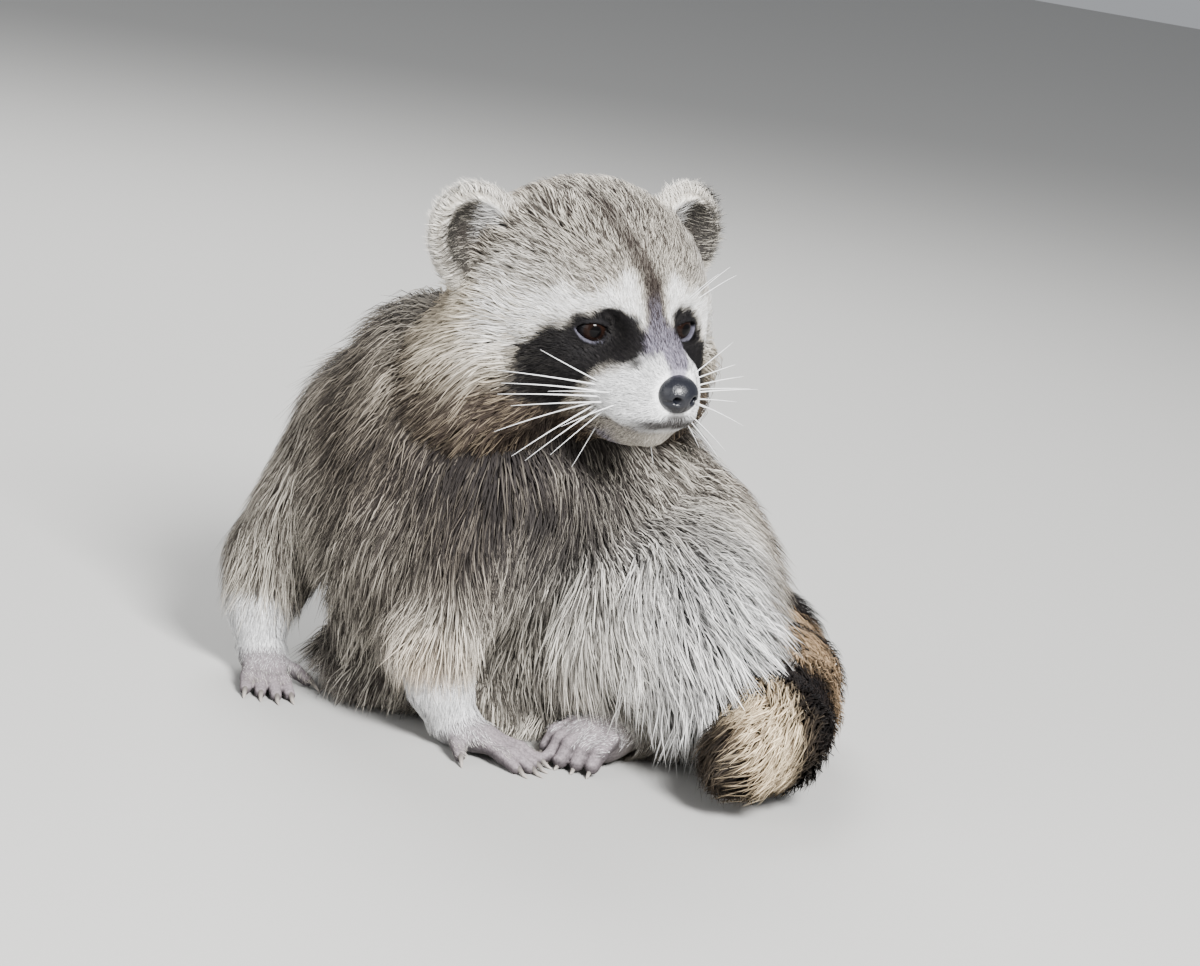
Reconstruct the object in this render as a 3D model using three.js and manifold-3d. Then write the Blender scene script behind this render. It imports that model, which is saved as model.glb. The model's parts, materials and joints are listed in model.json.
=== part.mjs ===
// A sitting raccoon as a still, life-size model, with its coat included in every outline.
// Millimetres, +Z up. The animal sits on the plane z = 0 with its chest turned to its right
// of -Y, its hindquarters behind on +X, and its head turned back to its own left.
//
// The whole animal is one smooth field: rounded lumps that flow into each other. Each named
// piece is a net of triangles over that field, trimmed to its own region of space, and the
// regions are a fixed gap apart, so the pieces meet and never overlap.

import * as THREE from "three";
import { mergeVertices } from "three/addons/utils/BufferGeometryUtils.js";
import Module from "manifold-3d";

const wasm = await Module();
wasm.setup();

// ---------------------------------------------------------------- driving dimensions

const GAP = 0.3; // clear space between two neighbouring pieces
const FLOOR = 0; // height of the surface that the animal sits on
const WELD = 0.05; // edges shorter than this are closed up

// Where the main parts of the body are and which way they look: yaw 0 looks along -Y.
const HEAD = { at: [4, -47, 198], yaw: 35, pitch: 4, roll: -4 }; // midpoint between the eyes
const THORAX = { at: [-62, 10, 0], yaw: -40 };
const PELVIS = { at: [23, 66, 0], yaw: -57 };
const HAND = {
  left: { at: [-45, -49, 0], yaw: 57 },
  right: { at: [-140, 12, 0], yaw: 18 },
};
const FOOT = {
  left: { at: [19, -38, 0], yaw: -36 },
  right: { at: [-74, 84, 0], yaw: -72 },
};

const EYE_SPACING = 43;
const EYE_RADIUS = 7.6;
const NOSE_REACH = 45; // nose tip ahead of the eyes
const NOSE_SIZE = [9, 8.5, 8.3];
const MUZZLE_HALF_WIDTH = 24;
const EAR_SPACING = 112;
const EAR_BEHIND_EYES = 50;
const EAR_ABOVE_EYES = 27;
const EAR = { half: 23, thick: 10, tall: 27 };
const CROWN_HEIGHT = 54; // top of the crown above the eyes
const CHEEK_HALF_WIDTH = 73;
const FINGER = { length: 22, radius: 3.5, claw: 7 };
const TOE = { length: 17, radius: 4.3, claw: 6 };

// ---------------------------------------------------------------- frames

// Every frame looks along its own -Y: +X is the animal's left and +Z is up.
function frame({ at, yaw = 0, pitch = 0, roll = 0 }, parent = new THREE.Matrix4()) {
  const turn = [pitch, roll, yaw].map(THREE.MathUtils.degToRad);
  const local = new THREE.Matrix4()
    .makeRotationFromEuler(new THREE.Euler(...turn, "ZYX"))
    .setPosition(...at);
  return parent.clone().multiply(local);
}

const world = new THREE.Matrix4();
const head = frame(HEAD);
const thorax = frame(THORAX);
const pelvis = frame(PELVIS);

const place = (f, at) => new THREE.Vector3(...at).applyMatrix4(f);

// ---------------------------------------------------------------- lumps of the field

// An ellipsoid in its own frame; the value is close to the distance near its surface.
function ball(f, at, radii, turn = {}) {
  const inverse = frame({ at, ...turn }, f).invert();
  const r = new THREE.Vector3(...radii);
  const least = Math.min(...radii);
  const q = new THREE.Vector3();
  const s = new THREE.Vector3();
  return (p) => {
    q.copy(p).applyMatrix4(inverse).divide(r);
    const k0 = q.length();
    const k1 = s.copy(q).divide(r).length();
    return k1 < 1e-9 ? -least : (k0 * (k0 - 1)) / k1;
  };
}

// A rod whose radius runs evenly from ra at a to rb at b.
function rod(f, a, ra, b, rb) {
  const start = place(f, a);
  const axis = place(f, b).sub(start);
  const length2 = axis.lengthSq();
  const q = new THREE.Vector3();
  return (p) => {
    q.subVectors(p, start);
    const t = THREE.MathUtils.clamp(q.dot(axis) / length2, 0, 1);
    return q.addScaledVector(axis, -t).length() - THREE.MathUtils.lerp(ra, rb, t);
  };
}

// A chain of rods through a list of [point, radius].
function limb(f, stations) {
  return stations.slice(1).map(([b, rb], i) => rod(f, stations[i][0], stations[i][1], b, rb));
}

function softMin(a, b, k) {
  const h = Math.max(k - Math.abs(a - b), 0) / k;
  return Math.min(a, b) - (h * h * k) / 4;
}

const both = (make) => [1, -1].map(make); // left, then right
const joined = (lumps, k) => (p) => lumps.reduce((d, lump) => softMin(d, lump(p), k), 1e3);

// ---------------------------------------------------------------- head

const cranium = ball(head, [0, 48, 4], [58, 56, CROWN_HEIGHT - 4]);
const forehead = ball(head, [0, 16, 8], [36, 23, 26]);
const cheeks = both((s) => ball(head, [s * (CHEEK_HALF_WIDTH - 36), 45, -24], [36, 38, 38]));
const jowls = both((s) => ball(head, [s * 44, 42, -44], [26, 30, 22]));
const face = ball(head, [0, 16, -16], [40, 27, 27]);
const muzzle = rod(head, [0, 2, -16], MUZZLE_HALF_WIDTH, [0, -NOSE_REACH + 16, -18], 15);
const lips = both((s) => ball(head, [s * 10, -22, -24], [14, 18, 12.5]));
const chin = rod(head, [0, 16, -38], 20, [0, -20, -36], 10.5);
const bridge = rod(head, [0, 2, 0], 11, [0, -NOSE_REACH + 14, -11], 8);
const sockets = both((s) => ball(head, [s * 24, -9, 1], [11, 9, 8]));

const snout = joined([muzzle, ...lips, chin, bridge], 8);
const fullHead = joined([cranium, forehead, ...cheeks, ...jowls, face, snout], 14);
const headLumps = (p) => {
  const hollow = Math.min(sockets[0](p), sockets[1](p));
  return -softMin(-fullHead(p), hollow, 7);
};

const earTurn = (s) => ({ roll: s * 26, yaw: s * 6, pitch: -8 });
const earFrame = (s) =>
  frame({ at: [(s * EAR_SPACING) / 2, EAR_BEHIND_EYES, EAR_ABOVE_EYES], ...earTurn(s) }, head);

// ---------------------------------------------------------------- neck and trunk

const neckLumps = joined(
  [
    rod(world, [-26, -2, 190], 46, [-56, 14, 148], 60),
    ball(world, [-70, 4, 150], [44, 46, 40]),
  ],
  20,
);
const chest = ball(thorax, [0, 2, 104], [74, 60, 72]);
const breast = ball(thorax, [4, -16, 78], [60, 52, 62]);
const withers = ball(thorax, [0, 24, 124], [60, 48, 52]);
const shoulders = both((s) => ball(thorax, [s * 44, -4, 98], [36, 42, 58]));
const belly = ball(world, [-28, 20, 46], [80, 60, 56]);
const fringe = ball(world, [-84, 18, 22], [40, 40, 36]);
const loin = ball(pelvis, [0, -34, 90], [66, 64, 70]);
const rump = ball(pelvis, [-2, 6, 62], [76, 64, 66]);
const haunches = [
  joined(
    [ball(world, [40, -6, 62], [48, 60, 60]), rod(world, [50, -32, 56], 42, [60, -50, 18], 27)],
    16,
  ),
  ball(pelvis, [-50, -18, 54], [50, 66, 58]),
];

const trunkLumps = joined(
  [chest, breast, withers, ...shoulders, belly, fringe, loin, rump, ...haunches],
  22,
);

// ---------------------------------------------------------------- legs

const forelegs = {
  left: limb(world, [
    [[-40, -22, 110], 30],
    [[-62, -46, 52], 19],
    [[-55, -50, 28], 14],
    [[-46, -50, 12], 11.5],
  ]),
  right: limb(world, [
    [[-108, 36, 118], 34],
    [[-140, 26, 58], 20],
    [[-144, 15, 30], 14],
    [[-140, 11, 13], 11.5],
  ]),
};

const hindlegs = {
  left: limb(world, [
    [[54, 6, 26], 26],
    [[46, -8, 18], 18],
    [[26, -28, 17], 15],
  ]),
  right: limb(world, [
    [[-10, 96, 26], 26],
    [[-34, 94, 18], 18],
    [[-64, 87, 17], 15],
  ]),
};

// ---------------------------------------------------------------- tail

const TAIL_PATH = new THREE.CatmullRomCurve3(
  [
    [56, 98, 44],
    [88, 80, 38],
    [99, 38, 33],
    [98, -8, 33],
    [95, -50, 32],
    [82, -82, 27],
  ].map((p) => new THREE.Vector3(...p)),
);
const TAIL_RADIUS = [28, 30, 31, 32, 32, 22];
const tail = limb(
  world,
  TAIL_RADIUS.map((r, i) => [TAIL_PATH.getPoint(i / (TAIL_RADIUS.length - 1)).toArray(), r]),
);

// ---------------------------------------------------------------- the whole animal

const bodyField = joined([trunkLumps, neckLumps], 26);
const legField = joined([...forelegs.left, ...forelegs.right], 12);
const ankleField = joined([...hindlegs.left, ...hindlegs.right], 12);
const tailField = joined(tail, 10);

function animal(p) {
  let d = softMin(bodyField(p), headLumps(p), 9);
  d = softMin(d, legField(p), 10);
  return softMin(d, ankleField(p), 8);
}

// ---------------------------------------------------------------- net of triangles

// Naive surface net: one vertex in each cell that the surface crosses, then moved onto it.
function net(field, box, cell) {
  const size = box.getSize(new THREE.Vector3());
  const n = size.toArray().map((length) => Math.ceil(length / cell) + 1);
  const at = (i, j, k) => i + n[0] * (j + n[1] * k);
  const p = new THREE.Vector3();
  const point = (i, j, k) => p.set(i, j, k).multiplyScalar(cell).add(box.min);
  const value = new Float32Array(n[0] * n[1] * n[2]);
  for (let k = 0; k < n[2]; k++)
    for (let j = 0; j < n[1]; j++)
      for (let i = 0; i < n[0]; i++) {
        const rim = [i, j, k].some((index, axis) => index === 0 || index === n[axis] - 1);
        value[at(i, j, k)] = rim ? cell : field(point(i, j, k));
      }

  const vertices = [];
  const vertexOf = new Int32Array(value.length).fill(-1);
  const corners = [0, 1, 2, 3, 4, 5, 6, 7].map((c) => [c & 1, (c >> 1) & 1, (c >> 2) & 1]);
  const edges = corners.flatMap((a, i) =>
    corners.slice(i + 1).flatMap((b) => {
      const apart = a.reduce((sum, x, axis) => sum + Math.abs(x - b[axis]), 0);
      return apart === 1 ? [[a, b]] : [];
    }),
  );
  for (let k = 0; k < n[2] - 1; k++)
    for (let j = 0; j < n[1] - 1; j++)
      for (let i = 0; i < n[0] - 1; i++) {
        const sum = new THREE.Vector3();
        let crossings = 0;
        for (const [a, b] of edges) {
          const va = value[at(i + a[0], j + a[1], k + a[2])];
          const vb = value[at(i + b[0], j + b[1], k + b[2])];
          if (va < 0 === vb < 0) continue;
          const t = va / (va - vb);
          sum.add(p.fromArray(a.map((x, axis) => x + t * (b[axis] - x))));
          crossings += 1;
        }
        if (!crossings) continue;
        sum.divideScalar(crossings).add(p.set(i, j, k)).multiplyScalar(cell).add(box.min);
        vertexOf[at(i, j, k)] = vertices.length;
        vertices.push(settle(field, sum, cell));
      }

  const triangles = [];
  const step = [
    [1, 0, 0],
    [0, 1, 0],
    [0, 0, 1],
  ];
  for (let k = 0; k < n[2] - 1; k++)
    for (let j = 0; j < n[1] - 1; j++)
      for (let i = 0; i < n[0] - 1; i++)
        for (let axis = 0; axis < 3; axis++) {
          const here = value[at(i, j, k)] < 0;
          const ahead = step[axis];
          if (here === value[at(i + ahead[0], j + ahead[1], k + ahead[2])] < 0) continue;
          const u = step[(axis + 1) % 3];
          const v = step[(axis + 2) % 3];
          const ring = [
            [0, 0],
            [1, 0],
            [1, 1],
            [0, 1],
          ].map(([a, b]) => {
            const back = [0, 1, 2].map((x) => a * u[x] + b * v[x]);
            return vertexOf[at(i - back[0], j - back[1], k - back[2])];
          });
          if (!here) ring.reverse();
          const [a, b, c, d] = ring;
          const across = vertices[a].distanceTo(vertices[c]) < vertices[b].distanceTo(vertices[d]);
          triangles.push(...(across ? [a, b, c, a, c, d] : [b, c, d, b, d, a]));
        }
  return solidOf(vertices.flatMap((q) => q.toArray()), triangles);
}

// Moves a vertex onto the surface along the field's slope, by less than half a cell.
function settle(field, q, cell) {
  const h = 0.05;
  const slope = new THREE.Vector3();
  const probe = new THREE.Vector3();
  const start = q.clone();
  for (let round = 0; round < 3; round++) {
    const d = field(q);
    for (const axis of ["x", "y", "z"]) {
      probe.copy(q)[axis] += h;
      slope[axis] = (field(probe) - d) / h;
    }
    q.addScaledVector(slope, -d / Math.max(slope.lengthSq(), 0.2));
  }
  const moved = q.clone().sub(start).clampLength(0, 0.45 * cell);
  return start.add(moved);
}

// ---------------------------------------------------------------- manifold solids

function solidOf(positions, triangles) {
  return new wasm.Manifold(
    new wasm.Mesh({
      numProp: 3,
      vertProperties: new Float32Array(positions),
      triVerts: new Uint32Array(triangles),
      tolerance: WELD,
    }),
  );
}

function solidFrom(geometry, matrix = world) {
  const bare = geometry.clone().applyMatrix4(matrix);
  bare.deleteAttribute("normal");
  bare.deleteAttribute("uv");
  const merged = mergeVertices(bare, 1e-4);
  return solidOf(merged.attributes.position.array, merged.index.array);
}

// A region of space: a faceted ellipsoid or a box in a frame, grown or shrunk by `grow`.
const round = (f, at, radii, turn = {}) => (grow) => {
  const [a, b, c] = radii.map((r) => r + grow);
  const geometry = new THREE.SphereGeometry(1, 12, 8).scale(a, b, c);
  return solidFrom(geometry, frame({ at, ...turn }, f));
};
const slab = (f, low, high) => (grow) => {
  const size = high.map((h, i) => h - low[i] + 2 * grow);
  const middle = high.map((h, i) => (h + low[i]) / 2);
  return solidFrom(new THREE.BoxGeometry(...size), frame({ at: middle }, f));
};

const underFloor = solidFrom(
  new THREE.BoxGeometry(1200, 1200, 400),
  frame({ at: [0, 0, FLOOR - 200] }, world),
);

function boundsOf(solid, margin) {
  const { min, max } = solid.boundingBox();
  const box = new THREE.Box3(new THREE.Vector3(...min), new THREE.Vector3(...max));
  return box.expandByScalar(margin);
}

const largest = (solid) =>
  solid.decompose().reduce((best, part) => (part.volume() > best.volume() ? part : best));

// ---------------------------------------------------------------- paws

// A digit with its claw: a turned profile, bent down at the joint in its middle.
const DIGIT_SIDES = 5;
const CLAW_RADIUS = 1.9;
function digit(f, { knuckle, yaw, length, radius, claw, droop, curl }) {
  const joint = length * 0.52;
  const nail = length + radius * 0.6;
  const profile = [
    [0, -radius],
    [radius * 0.9, -radius * 0.4],
    [radius, joint],
    [radius * 0.85, length],
    [CLAW_RADIUS, nail],
    [0, nail + claw],
  ].map(([r, along]) => new THREE.Vector2(r, along));
  const geometry = new THREE.LatheGeometry(profile, DIGIT_SIDES).rotateZ(Math.PI);
  const bend = THREE.MathUtils.degToRad(curl);
  const at = geometry.attributes.position;
  for (let i = 0; i < at.count; i++) {
    const beyond = Math.max(-at.getY(i) - joint, 0);
    const dip = beyond * Math.sin(bend);
    at.setXYZ(i, at.getX(i), at.getY(i) + beyond * (1 - Math.cos(bend)), at.getZ(i) - dip);
  }
  return solidFrom(geometry, frame({ at: knuckle, yaw, pitch: droop }, f));
}

// Five digits side by side on the front of a paw; the first is on the animal's inner side.
function digits(f, s, size, { spread, across, ahead, high, droop, curl, first }) {
  return [0, 1, 2, 3, 4]
    .map((i) => {
      const side = (i - 2) / 2;
      const inner = i === 0;
      return digit(f, {
        knuckle: [s * side * across, ahead + Math.abs(side) * 3 + (inner ? first.back : 0), high],
        yaw: s * (side * spread + (inner ? first.turn : 0)),
        length: size.length * (inner ? first.scale : 1 - 0.1 * Math.abs(side)),
        radius: size.radius,
        claw: size.claw,
        droop,
        curl,
      });
    })
    .reduce((all, one) => all.add(one));
}

const palm = (f) => ball(f, [0, -12, 8], [12.5, 17, 8.5]);
const sole = (f) => ball(f, [0, -2, 12], [15.5, 20, 12]);

// ---------------------------------------------------------------- build

const group = new THREE.Group();
const COLOUR = {
  coat: 0x8d867b,
  pale: 0xd9d4c8,
  face: 0xb9b3a8,
  dark: 0x3b332d,
  paw: 0x9a918a,
  ring: 0xb39a72,
  nose: 0x1b1a1c,
  eye: 0x150d08,
};

function addPiece(name, solid, colour, roughness = 0.9) {
  const mesh = solid.getMesh();
  const geometry = new THREE.BufferGeometry();
  geometry.setAttribute("position", new THREE.BufferAttribute(mesh.vertProperties, 3));
  geometry.setIndex(new THREE.BufferAttribute(mesh.triVerts, 1));
  geometry.computeVertexNormals();
  const material = new THREE.MeshStandardMaterial({ color: colour, roughness, metalness: 0 });
  const piece = new THREE.Mesh(geometry, material);
  piece.name = name;
  group.add(piece);
}

// Takes one region out of a field as a named piece, clear of all pieces carved before it.
const regions = [];
function carve(name, { region, cell, colour, field = animal, extra = null }) {
  const own = region(-GAP / 2);
  let solid = net(field, boundsOf(own, 2.5 * cell), cell).intersect(own);
  if (extra) solid = solid.add(extra);
  solid = solid.subtract(underFloor);
  for (const taken of regions) solid = solid.subtract(taken(GAP / 2));
  regions.push(region);
  addPiece(name, largest(solid), colour);
}

// A whole small solid in its own right, which the pieces round it leave room for.
function addWhole(name, make, colour, roughness) {
  addPiece(name, make(0), colour, roughness);
  regions.push((grow) => make(grow + GAP / 2));
}

const everywhere = slab(world, [-260, -260, -5], [260, 260, 330]);
const sides = { left: 1, right: -1 };

for (const [side, s] of Object.entries(sides)) {
  const at = frame({ at: [(s * EYE_SPACING) / 2, 3.5, 0] }, head);
  const eye = (grow) => solidFrom(new THREE.SphereGeometry(EYE_RADIUS + grow, 8, 6), at);
  addWhole(`eye_${side}`, eye, COLOUR.eye, 0.1);
}

const noseFrame = frame({ at: [0, -NOSE_REACH + 8, -14.5], pitch: 12 }, head);
const nose = (grow) =>
  solidFrom(
    new THREE.SphereGeometry(1, 10, 7).scale(...NOSE_SIZE.map((r) => r + grow)),
    noseFrame,
  );
addWhole("nose", nose, COLOUR.nose, 0.35);

// An ear is an upright shell hollowed from the front; the head has a pocket for its foot.
const lump = (f, at, radii) => {
  const geometry = new THREE.SphereGeometry(1, 12, 8).scale(...radii);
  return solidFrom(geometry, frame({ at }, f));
};
for (const [side, s] of Object.entries(sides)) {
  const f = earFrame(s);
  const shell = (grow) =>
    lump(f, [0, 4, 0], [EAR.half + grow, EAR.thick + grow, EAR.tall + grow]);
  const cup = lump(f, [0, -8, 1], [EAR.half - 6, 12, EAR.tall - 7]);
  addWhole(`ear_${side}`, (grow) => (grow ? shell(grow) : shell(0).subtract(cup)), COLOUR.pale);
}

carve("face", {
  region: round(head, [0, -10, -14], [40, 46, 40]),
  cell: 9,
  colour: COLOUR.face,
});
carve("head", { region: round(head, [0, 28, 4], [94, 84, 78]), cell: 17, colour: COLOUR.coat });

for (const [side, s] of Object.entries(sides)) {
  const hand = frame(HAND[side]);
  const own = palm(hand);
  carve(`forepaw_${side}`, {
    region: round(hand, [0, -16, 4], [30, 30, 18]),
    cell: 12,
    colour: COLOUR.paw,
    field: (p) => softMin(own(p), legField(p), 6),
    extra: digits(hand, s, FINGER, {
      spread: 14,
      across: 8.5,
      ahead: -22,
      high: 7,
      droop: 8,
      curl: 10,
      first: { back: 12, turn: -28, scale: 0.75 },
    }),
  });
}

for (const [side, s] of Object.entries(sides)) {
  const foot = frame(FOOT[side]);
  const own = sole(foot);
  carve(`hindfoot_${side}`, {
    region: round(foot, [0, -4, 8], [26, 34, 26]),
    cell: 14,
    colour: COLOUR.paw,
    field: (p) => softMin(own(p), ankleField(p), 6),
    extra: digits(foot, s, TOE, {
      spread: 10,
      across: 12,
      ahead: -12,
      high: 14,
      droop: 22,
      curl: 32,
      first: { back: 3, turn: -4, scale: 0.9 },
    }),
  });
}

for (const [side, s] of Object.entries(sides)) {
  const at = side === "left" ? [-56, -52, 32] : [-143, 18, 38];
  carve(`foreleg_${side}`, {
    region: round(world, at, side === "left" ? [27, 30, 37] : [34, 38, 46]),
    cell: 11,
    colour: COLOUR.pale,
  });
}

carve("neck", { region: round(world, [-38, -2, 160], [104, 92, 42]), cell: 25, colour: COLOUR.coat });
carve("haunch_left", {
  region: round(world, [52, -22, 50], [58, 62, 78]),
  cell: 22,
  colour: COLOUR.pale,
});
carve("haunch_right", {
  region: round(pelvis, [-72, -14, 44], [46, 76, 72]),
  cell: 22,
  colour: COLOUR.pale,
});
carve("trunk", { region: everywhere, cell: 25, colour: COLOUR.coat });

// The tail lies along the body's +X side, so its lengths are cut back from the pieces that it
// touches, moved a gap's width towards it.
const touching = ["trunk", "haunch_left"].flatMap((name) => {
  const { geometry } = group.getObjectByName(name);
  return [0, GAP, 2 * GAP].map((x) => solidFrom(geometry, frame({ at: [x, 0, 0] })));
});
const TAIL_CUTS = { tip: [-150, -54], middle: [-54, 34], base: [34, 150] };
regions.length = 0;
regions.push(() => touching.reduce((all, one) => all.add(one)));
for (const [length, [front, back]] of Object.entries(TAIL_CUTS)) {
  const region = slab(world, [0, front, -5], [200, back, 120]);
  carve(`tail_${length}`, { region, cell: 21, colour: COLOUR.ring, field: tailField });
  regions.pop();
}

// The origin goes to the middle of the animal's box, on the floor.
const box = new THREE.Box3().setFromObject(group);
const middle = box.getCenter(new THREE.Vector3());
group.position.set(-middle.x, -middle.y, -FLOOR);

export default group;
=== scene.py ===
"""A life-size sitting raccoon: its skin, coat, eyes, nose, claws and whiskers, on a plain stage."""

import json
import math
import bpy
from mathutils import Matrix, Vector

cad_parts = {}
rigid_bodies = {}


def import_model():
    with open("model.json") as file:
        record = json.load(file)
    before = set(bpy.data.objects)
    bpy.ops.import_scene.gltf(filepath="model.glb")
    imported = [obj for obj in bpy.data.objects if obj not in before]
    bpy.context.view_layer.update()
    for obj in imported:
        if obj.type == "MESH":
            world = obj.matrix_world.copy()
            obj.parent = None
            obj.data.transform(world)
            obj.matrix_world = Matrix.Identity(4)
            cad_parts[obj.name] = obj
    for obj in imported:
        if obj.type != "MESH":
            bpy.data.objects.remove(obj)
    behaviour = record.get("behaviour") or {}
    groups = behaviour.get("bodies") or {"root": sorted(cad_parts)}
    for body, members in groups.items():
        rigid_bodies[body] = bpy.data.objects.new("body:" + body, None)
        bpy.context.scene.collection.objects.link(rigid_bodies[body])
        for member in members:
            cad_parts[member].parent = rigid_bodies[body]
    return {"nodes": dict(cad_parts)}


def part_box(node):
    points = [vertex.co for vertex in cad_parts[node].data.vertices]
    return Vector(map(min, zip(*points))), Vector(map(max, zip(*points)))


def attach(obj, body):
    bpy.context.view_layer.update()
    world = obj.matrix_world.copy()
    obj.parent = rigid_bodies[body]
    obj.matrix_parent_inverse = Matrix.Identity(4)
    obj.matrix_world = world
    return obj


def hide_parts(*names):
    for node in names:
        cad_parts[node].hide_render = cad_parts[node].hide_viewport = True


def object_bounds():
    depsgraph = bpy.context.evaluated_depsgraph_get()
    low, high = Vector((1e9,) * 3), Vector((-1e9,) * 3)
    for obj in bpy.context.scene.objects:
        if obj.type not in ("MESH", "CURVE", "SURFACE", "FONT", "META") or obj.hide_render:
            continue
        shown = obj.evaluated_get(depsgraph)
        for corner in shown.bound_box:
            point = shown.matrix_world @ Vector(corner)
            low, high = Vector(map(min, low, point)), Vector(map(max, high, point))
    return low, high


bl_info = {
    "name": "Sitting raccoon",
    "version": (1, 0, 0),
    "blender": (4, 5, 0),
    "location": "View3D > Sidebar > Raccoon",
    "description": "Builds a museum-like raccoon with a mesh coat around its solid model",
    "category": "Add Mesh",
}

import bmesh
import bpy
import numpy as np
import openvdb
from mathutils import Matrix, Vector

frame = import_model()
cad_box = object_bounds()

MM = 0.001  # lumps, coat and markings are written in millimetres
PIECE_LIMIT = 200000  # a piece has fewer triangles than this


# ---------------------------------------------------------------- reading and making data


def read(items, key, width, kind=np.float32):
    """One property of a collection's items, as the rows of an array."""
    values = np.empty(len(items) * width, kind)
    items.foreach_get(key, values)
    return values.reshape(-1, width)


def placed(name, data):
    """A new object in the scene."""
    made = bpy.data.objects.new(name, data)
    bpy.context.scene.collection.objects.link(made)
    return made


def surface_of(grid):
    """Points, in voxels, and triangles of the surface where a grid is 0."""
    points, triangles, quads = grid.convertToPolygons(isovalue=0.0, adaptivity=0.0)
    split = np.concatenate([quads[:, [0, 1, 2]], quads[:, [0, 2, 3]]])
    return points, np.concatenate([triangles, split]) if len(triangles) else split


def smooth(mesh):
    """Shades every face of a mesh smooth."""
    mesh.polygons.foreach_set("use_smooth", np.ones(len(mesh.polygons), bool))


def within_limit(mesh):
    """Stops the build when a piece has too many triangles."""
    if len(mesh.polygons) >= PIECE_LIMIT:
        raise RuntimeError(f"{mesh.name} has {len(mesh.polygons)} triangles")


# ---------------------------------------------------------------- places taken from the frame


def centre(node):
    """Middle of a solid's box, in millimetres."""
    low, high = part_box(node)
    return np.array((low + high) / 2) / MM


def rotation(pitch=0.0, roll=0.0, yaw=0.0):
    """Axes of a frame turned by yaw about Z, roll about Y and pitch about X, in degrees."""
    turns = ((yaw, "Z"), (roll, "Y"), (pitch, "X"))
    m = Matrix.Identity(3)
    for angle, axis in turns:
        m = m @ Matrix.Rotation(math.radians(angle), 3, axis)
    return np.array(m)


class Place:
    """A frame of its own: it looks along -Y, with +X to the animal's left and +Z up."""

    def __init__(self, at, axes=None, parent=None):
        axes = np.identity(3) if axes is None else axes
        at = np.array(at, float)
        self.at = at if parent is None else parent.at + parent.axes @ at
        self.axes = axes if parent is None else parent.axes @ axes

    def inside(self, points):
        return (points - self.at) @ self.axes

    def outside(self, points):
        return self.at + np.asarray(points, float) @ self.axes.T

    def direction(self, vector):
        return self.axes @ np.asarray(vector, float)


EYE_AT = np.array((21.5, 3.5, 0.0))  # the left eye, in the head's own frame
NOSE_AT = np.array((0.0, -37.0, -14.5))
EYE_RADIUS = 7.6


def head_place():
    """The head's frame, found from the solids of the eyes and the nose."""
    left, right, nose = centre("eye_left"), centre("eye_right"), centre("nose")
    x = (left - right) / np.linalg.norm(left - right)
    ahead = nose - (left + right) / 2
    ahead -= x * (ahead @ x)
    ahead /= np.linalg.norm(ahead)
    down = math.atan2(-NOSE_AT[2], EYE_AT[1] - NOSE_AT[1])
    up = np.cross(x, ahead)
    y = -math.cos(down) * ahead + math.sin(down) * up
    z = -math.sin(down) * ahead - math.cos(down) * up
    axes = np.stack([x, y, z], 1)
    middle = (left + right) / 2 - axes @ np.array((0, EYE_AT[1], 0))
    return Place(middle, axes)


HEAD = head_place()
EYES_FROM_BODY = np.array((4.0, -47.0, 198.0))  # between the eyes, from the body's own origin
BODY = Place(HEAD.at - EYES_FROM_BODY)
SIDES = {"left": 1, "right": -1}
HANDS = {
    "left": Place((-45, -49, 0), rotation(yaw=57), BODY),
    "right": Place((-140, 12, 0), rotation(yaw=18), BODY),
}
FEET = {
    "left": Place((19, -38, 0), rotation(yaw=-36), BODY),
    "right": Place((-74, 84, 0), rotation(yaw=-72), BODY),
}
EARS = {
    side: Place((s * 56, 50, 27), rotation(pitch=-8, roll=s * 26, yaw=s * 6), HEAD)
    for side, s in SIDES.items()
}


# ---------------------------------------------------------------- lumps of the field


def ball(p, at, radii):
    """Near-distance to an ellipsoid; p is already in the ellipsoid's frame."""
    r = np.array(radii, float)
    q = (p - at) / r
    k0 = np.linalg.norm(q, axis=1)
    k1 = np.linalg.norm(q / r, axis=1)
    return k0 * (k0 - 1) / np.maximum(k1, 1e-9)


def rod(p, a, ra, b, rb):
    """Distance to a rod whose radius runs evenly from ra at a to rb at b."""
    a, b = np.array(a, float), np.array(b, float)
    axis = b - a
    q = p - a
    t = np.clip(q @ axis / (axis @ axis), 0, 1)
    return np.linalg.norm(q - t[:, None] * axis, axis=1) - (ra + (rb - ra) * t)


def limb(p, stations, k):
    """Rods through a list of (point, radius), softly joined."""
    rods = [rod(p, a, ra, b, rb) for (a, ra), (b, rb) in zip(stations, stations[1:])]
    return joined(rods, k)


def soft_min(a, b, k):
    h = np.maximum(k - np.abs(a - b), 0) / k
    return np.minimum(a, b) - h * h * k / 4


def soft_max(a, b, k):
    return -soft_min(-a, -b, k)


def joined(lumps, k):
    total = lumps[0]
    for lump in lumps[1:]:
        total = soft_min(total, lump, k)
    return total


def ramp(low, high, x):
    """Smooth step from 0 at low to 1 at high; low may be above high."""
    t = np.clip((x - low) / (high - low), 0, 1)
    return t * t * (3 - 2 * t)


def mix(a, b, t):
    return a + (b - a) * t


# ---------------------------------------------------------------- head


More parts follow.
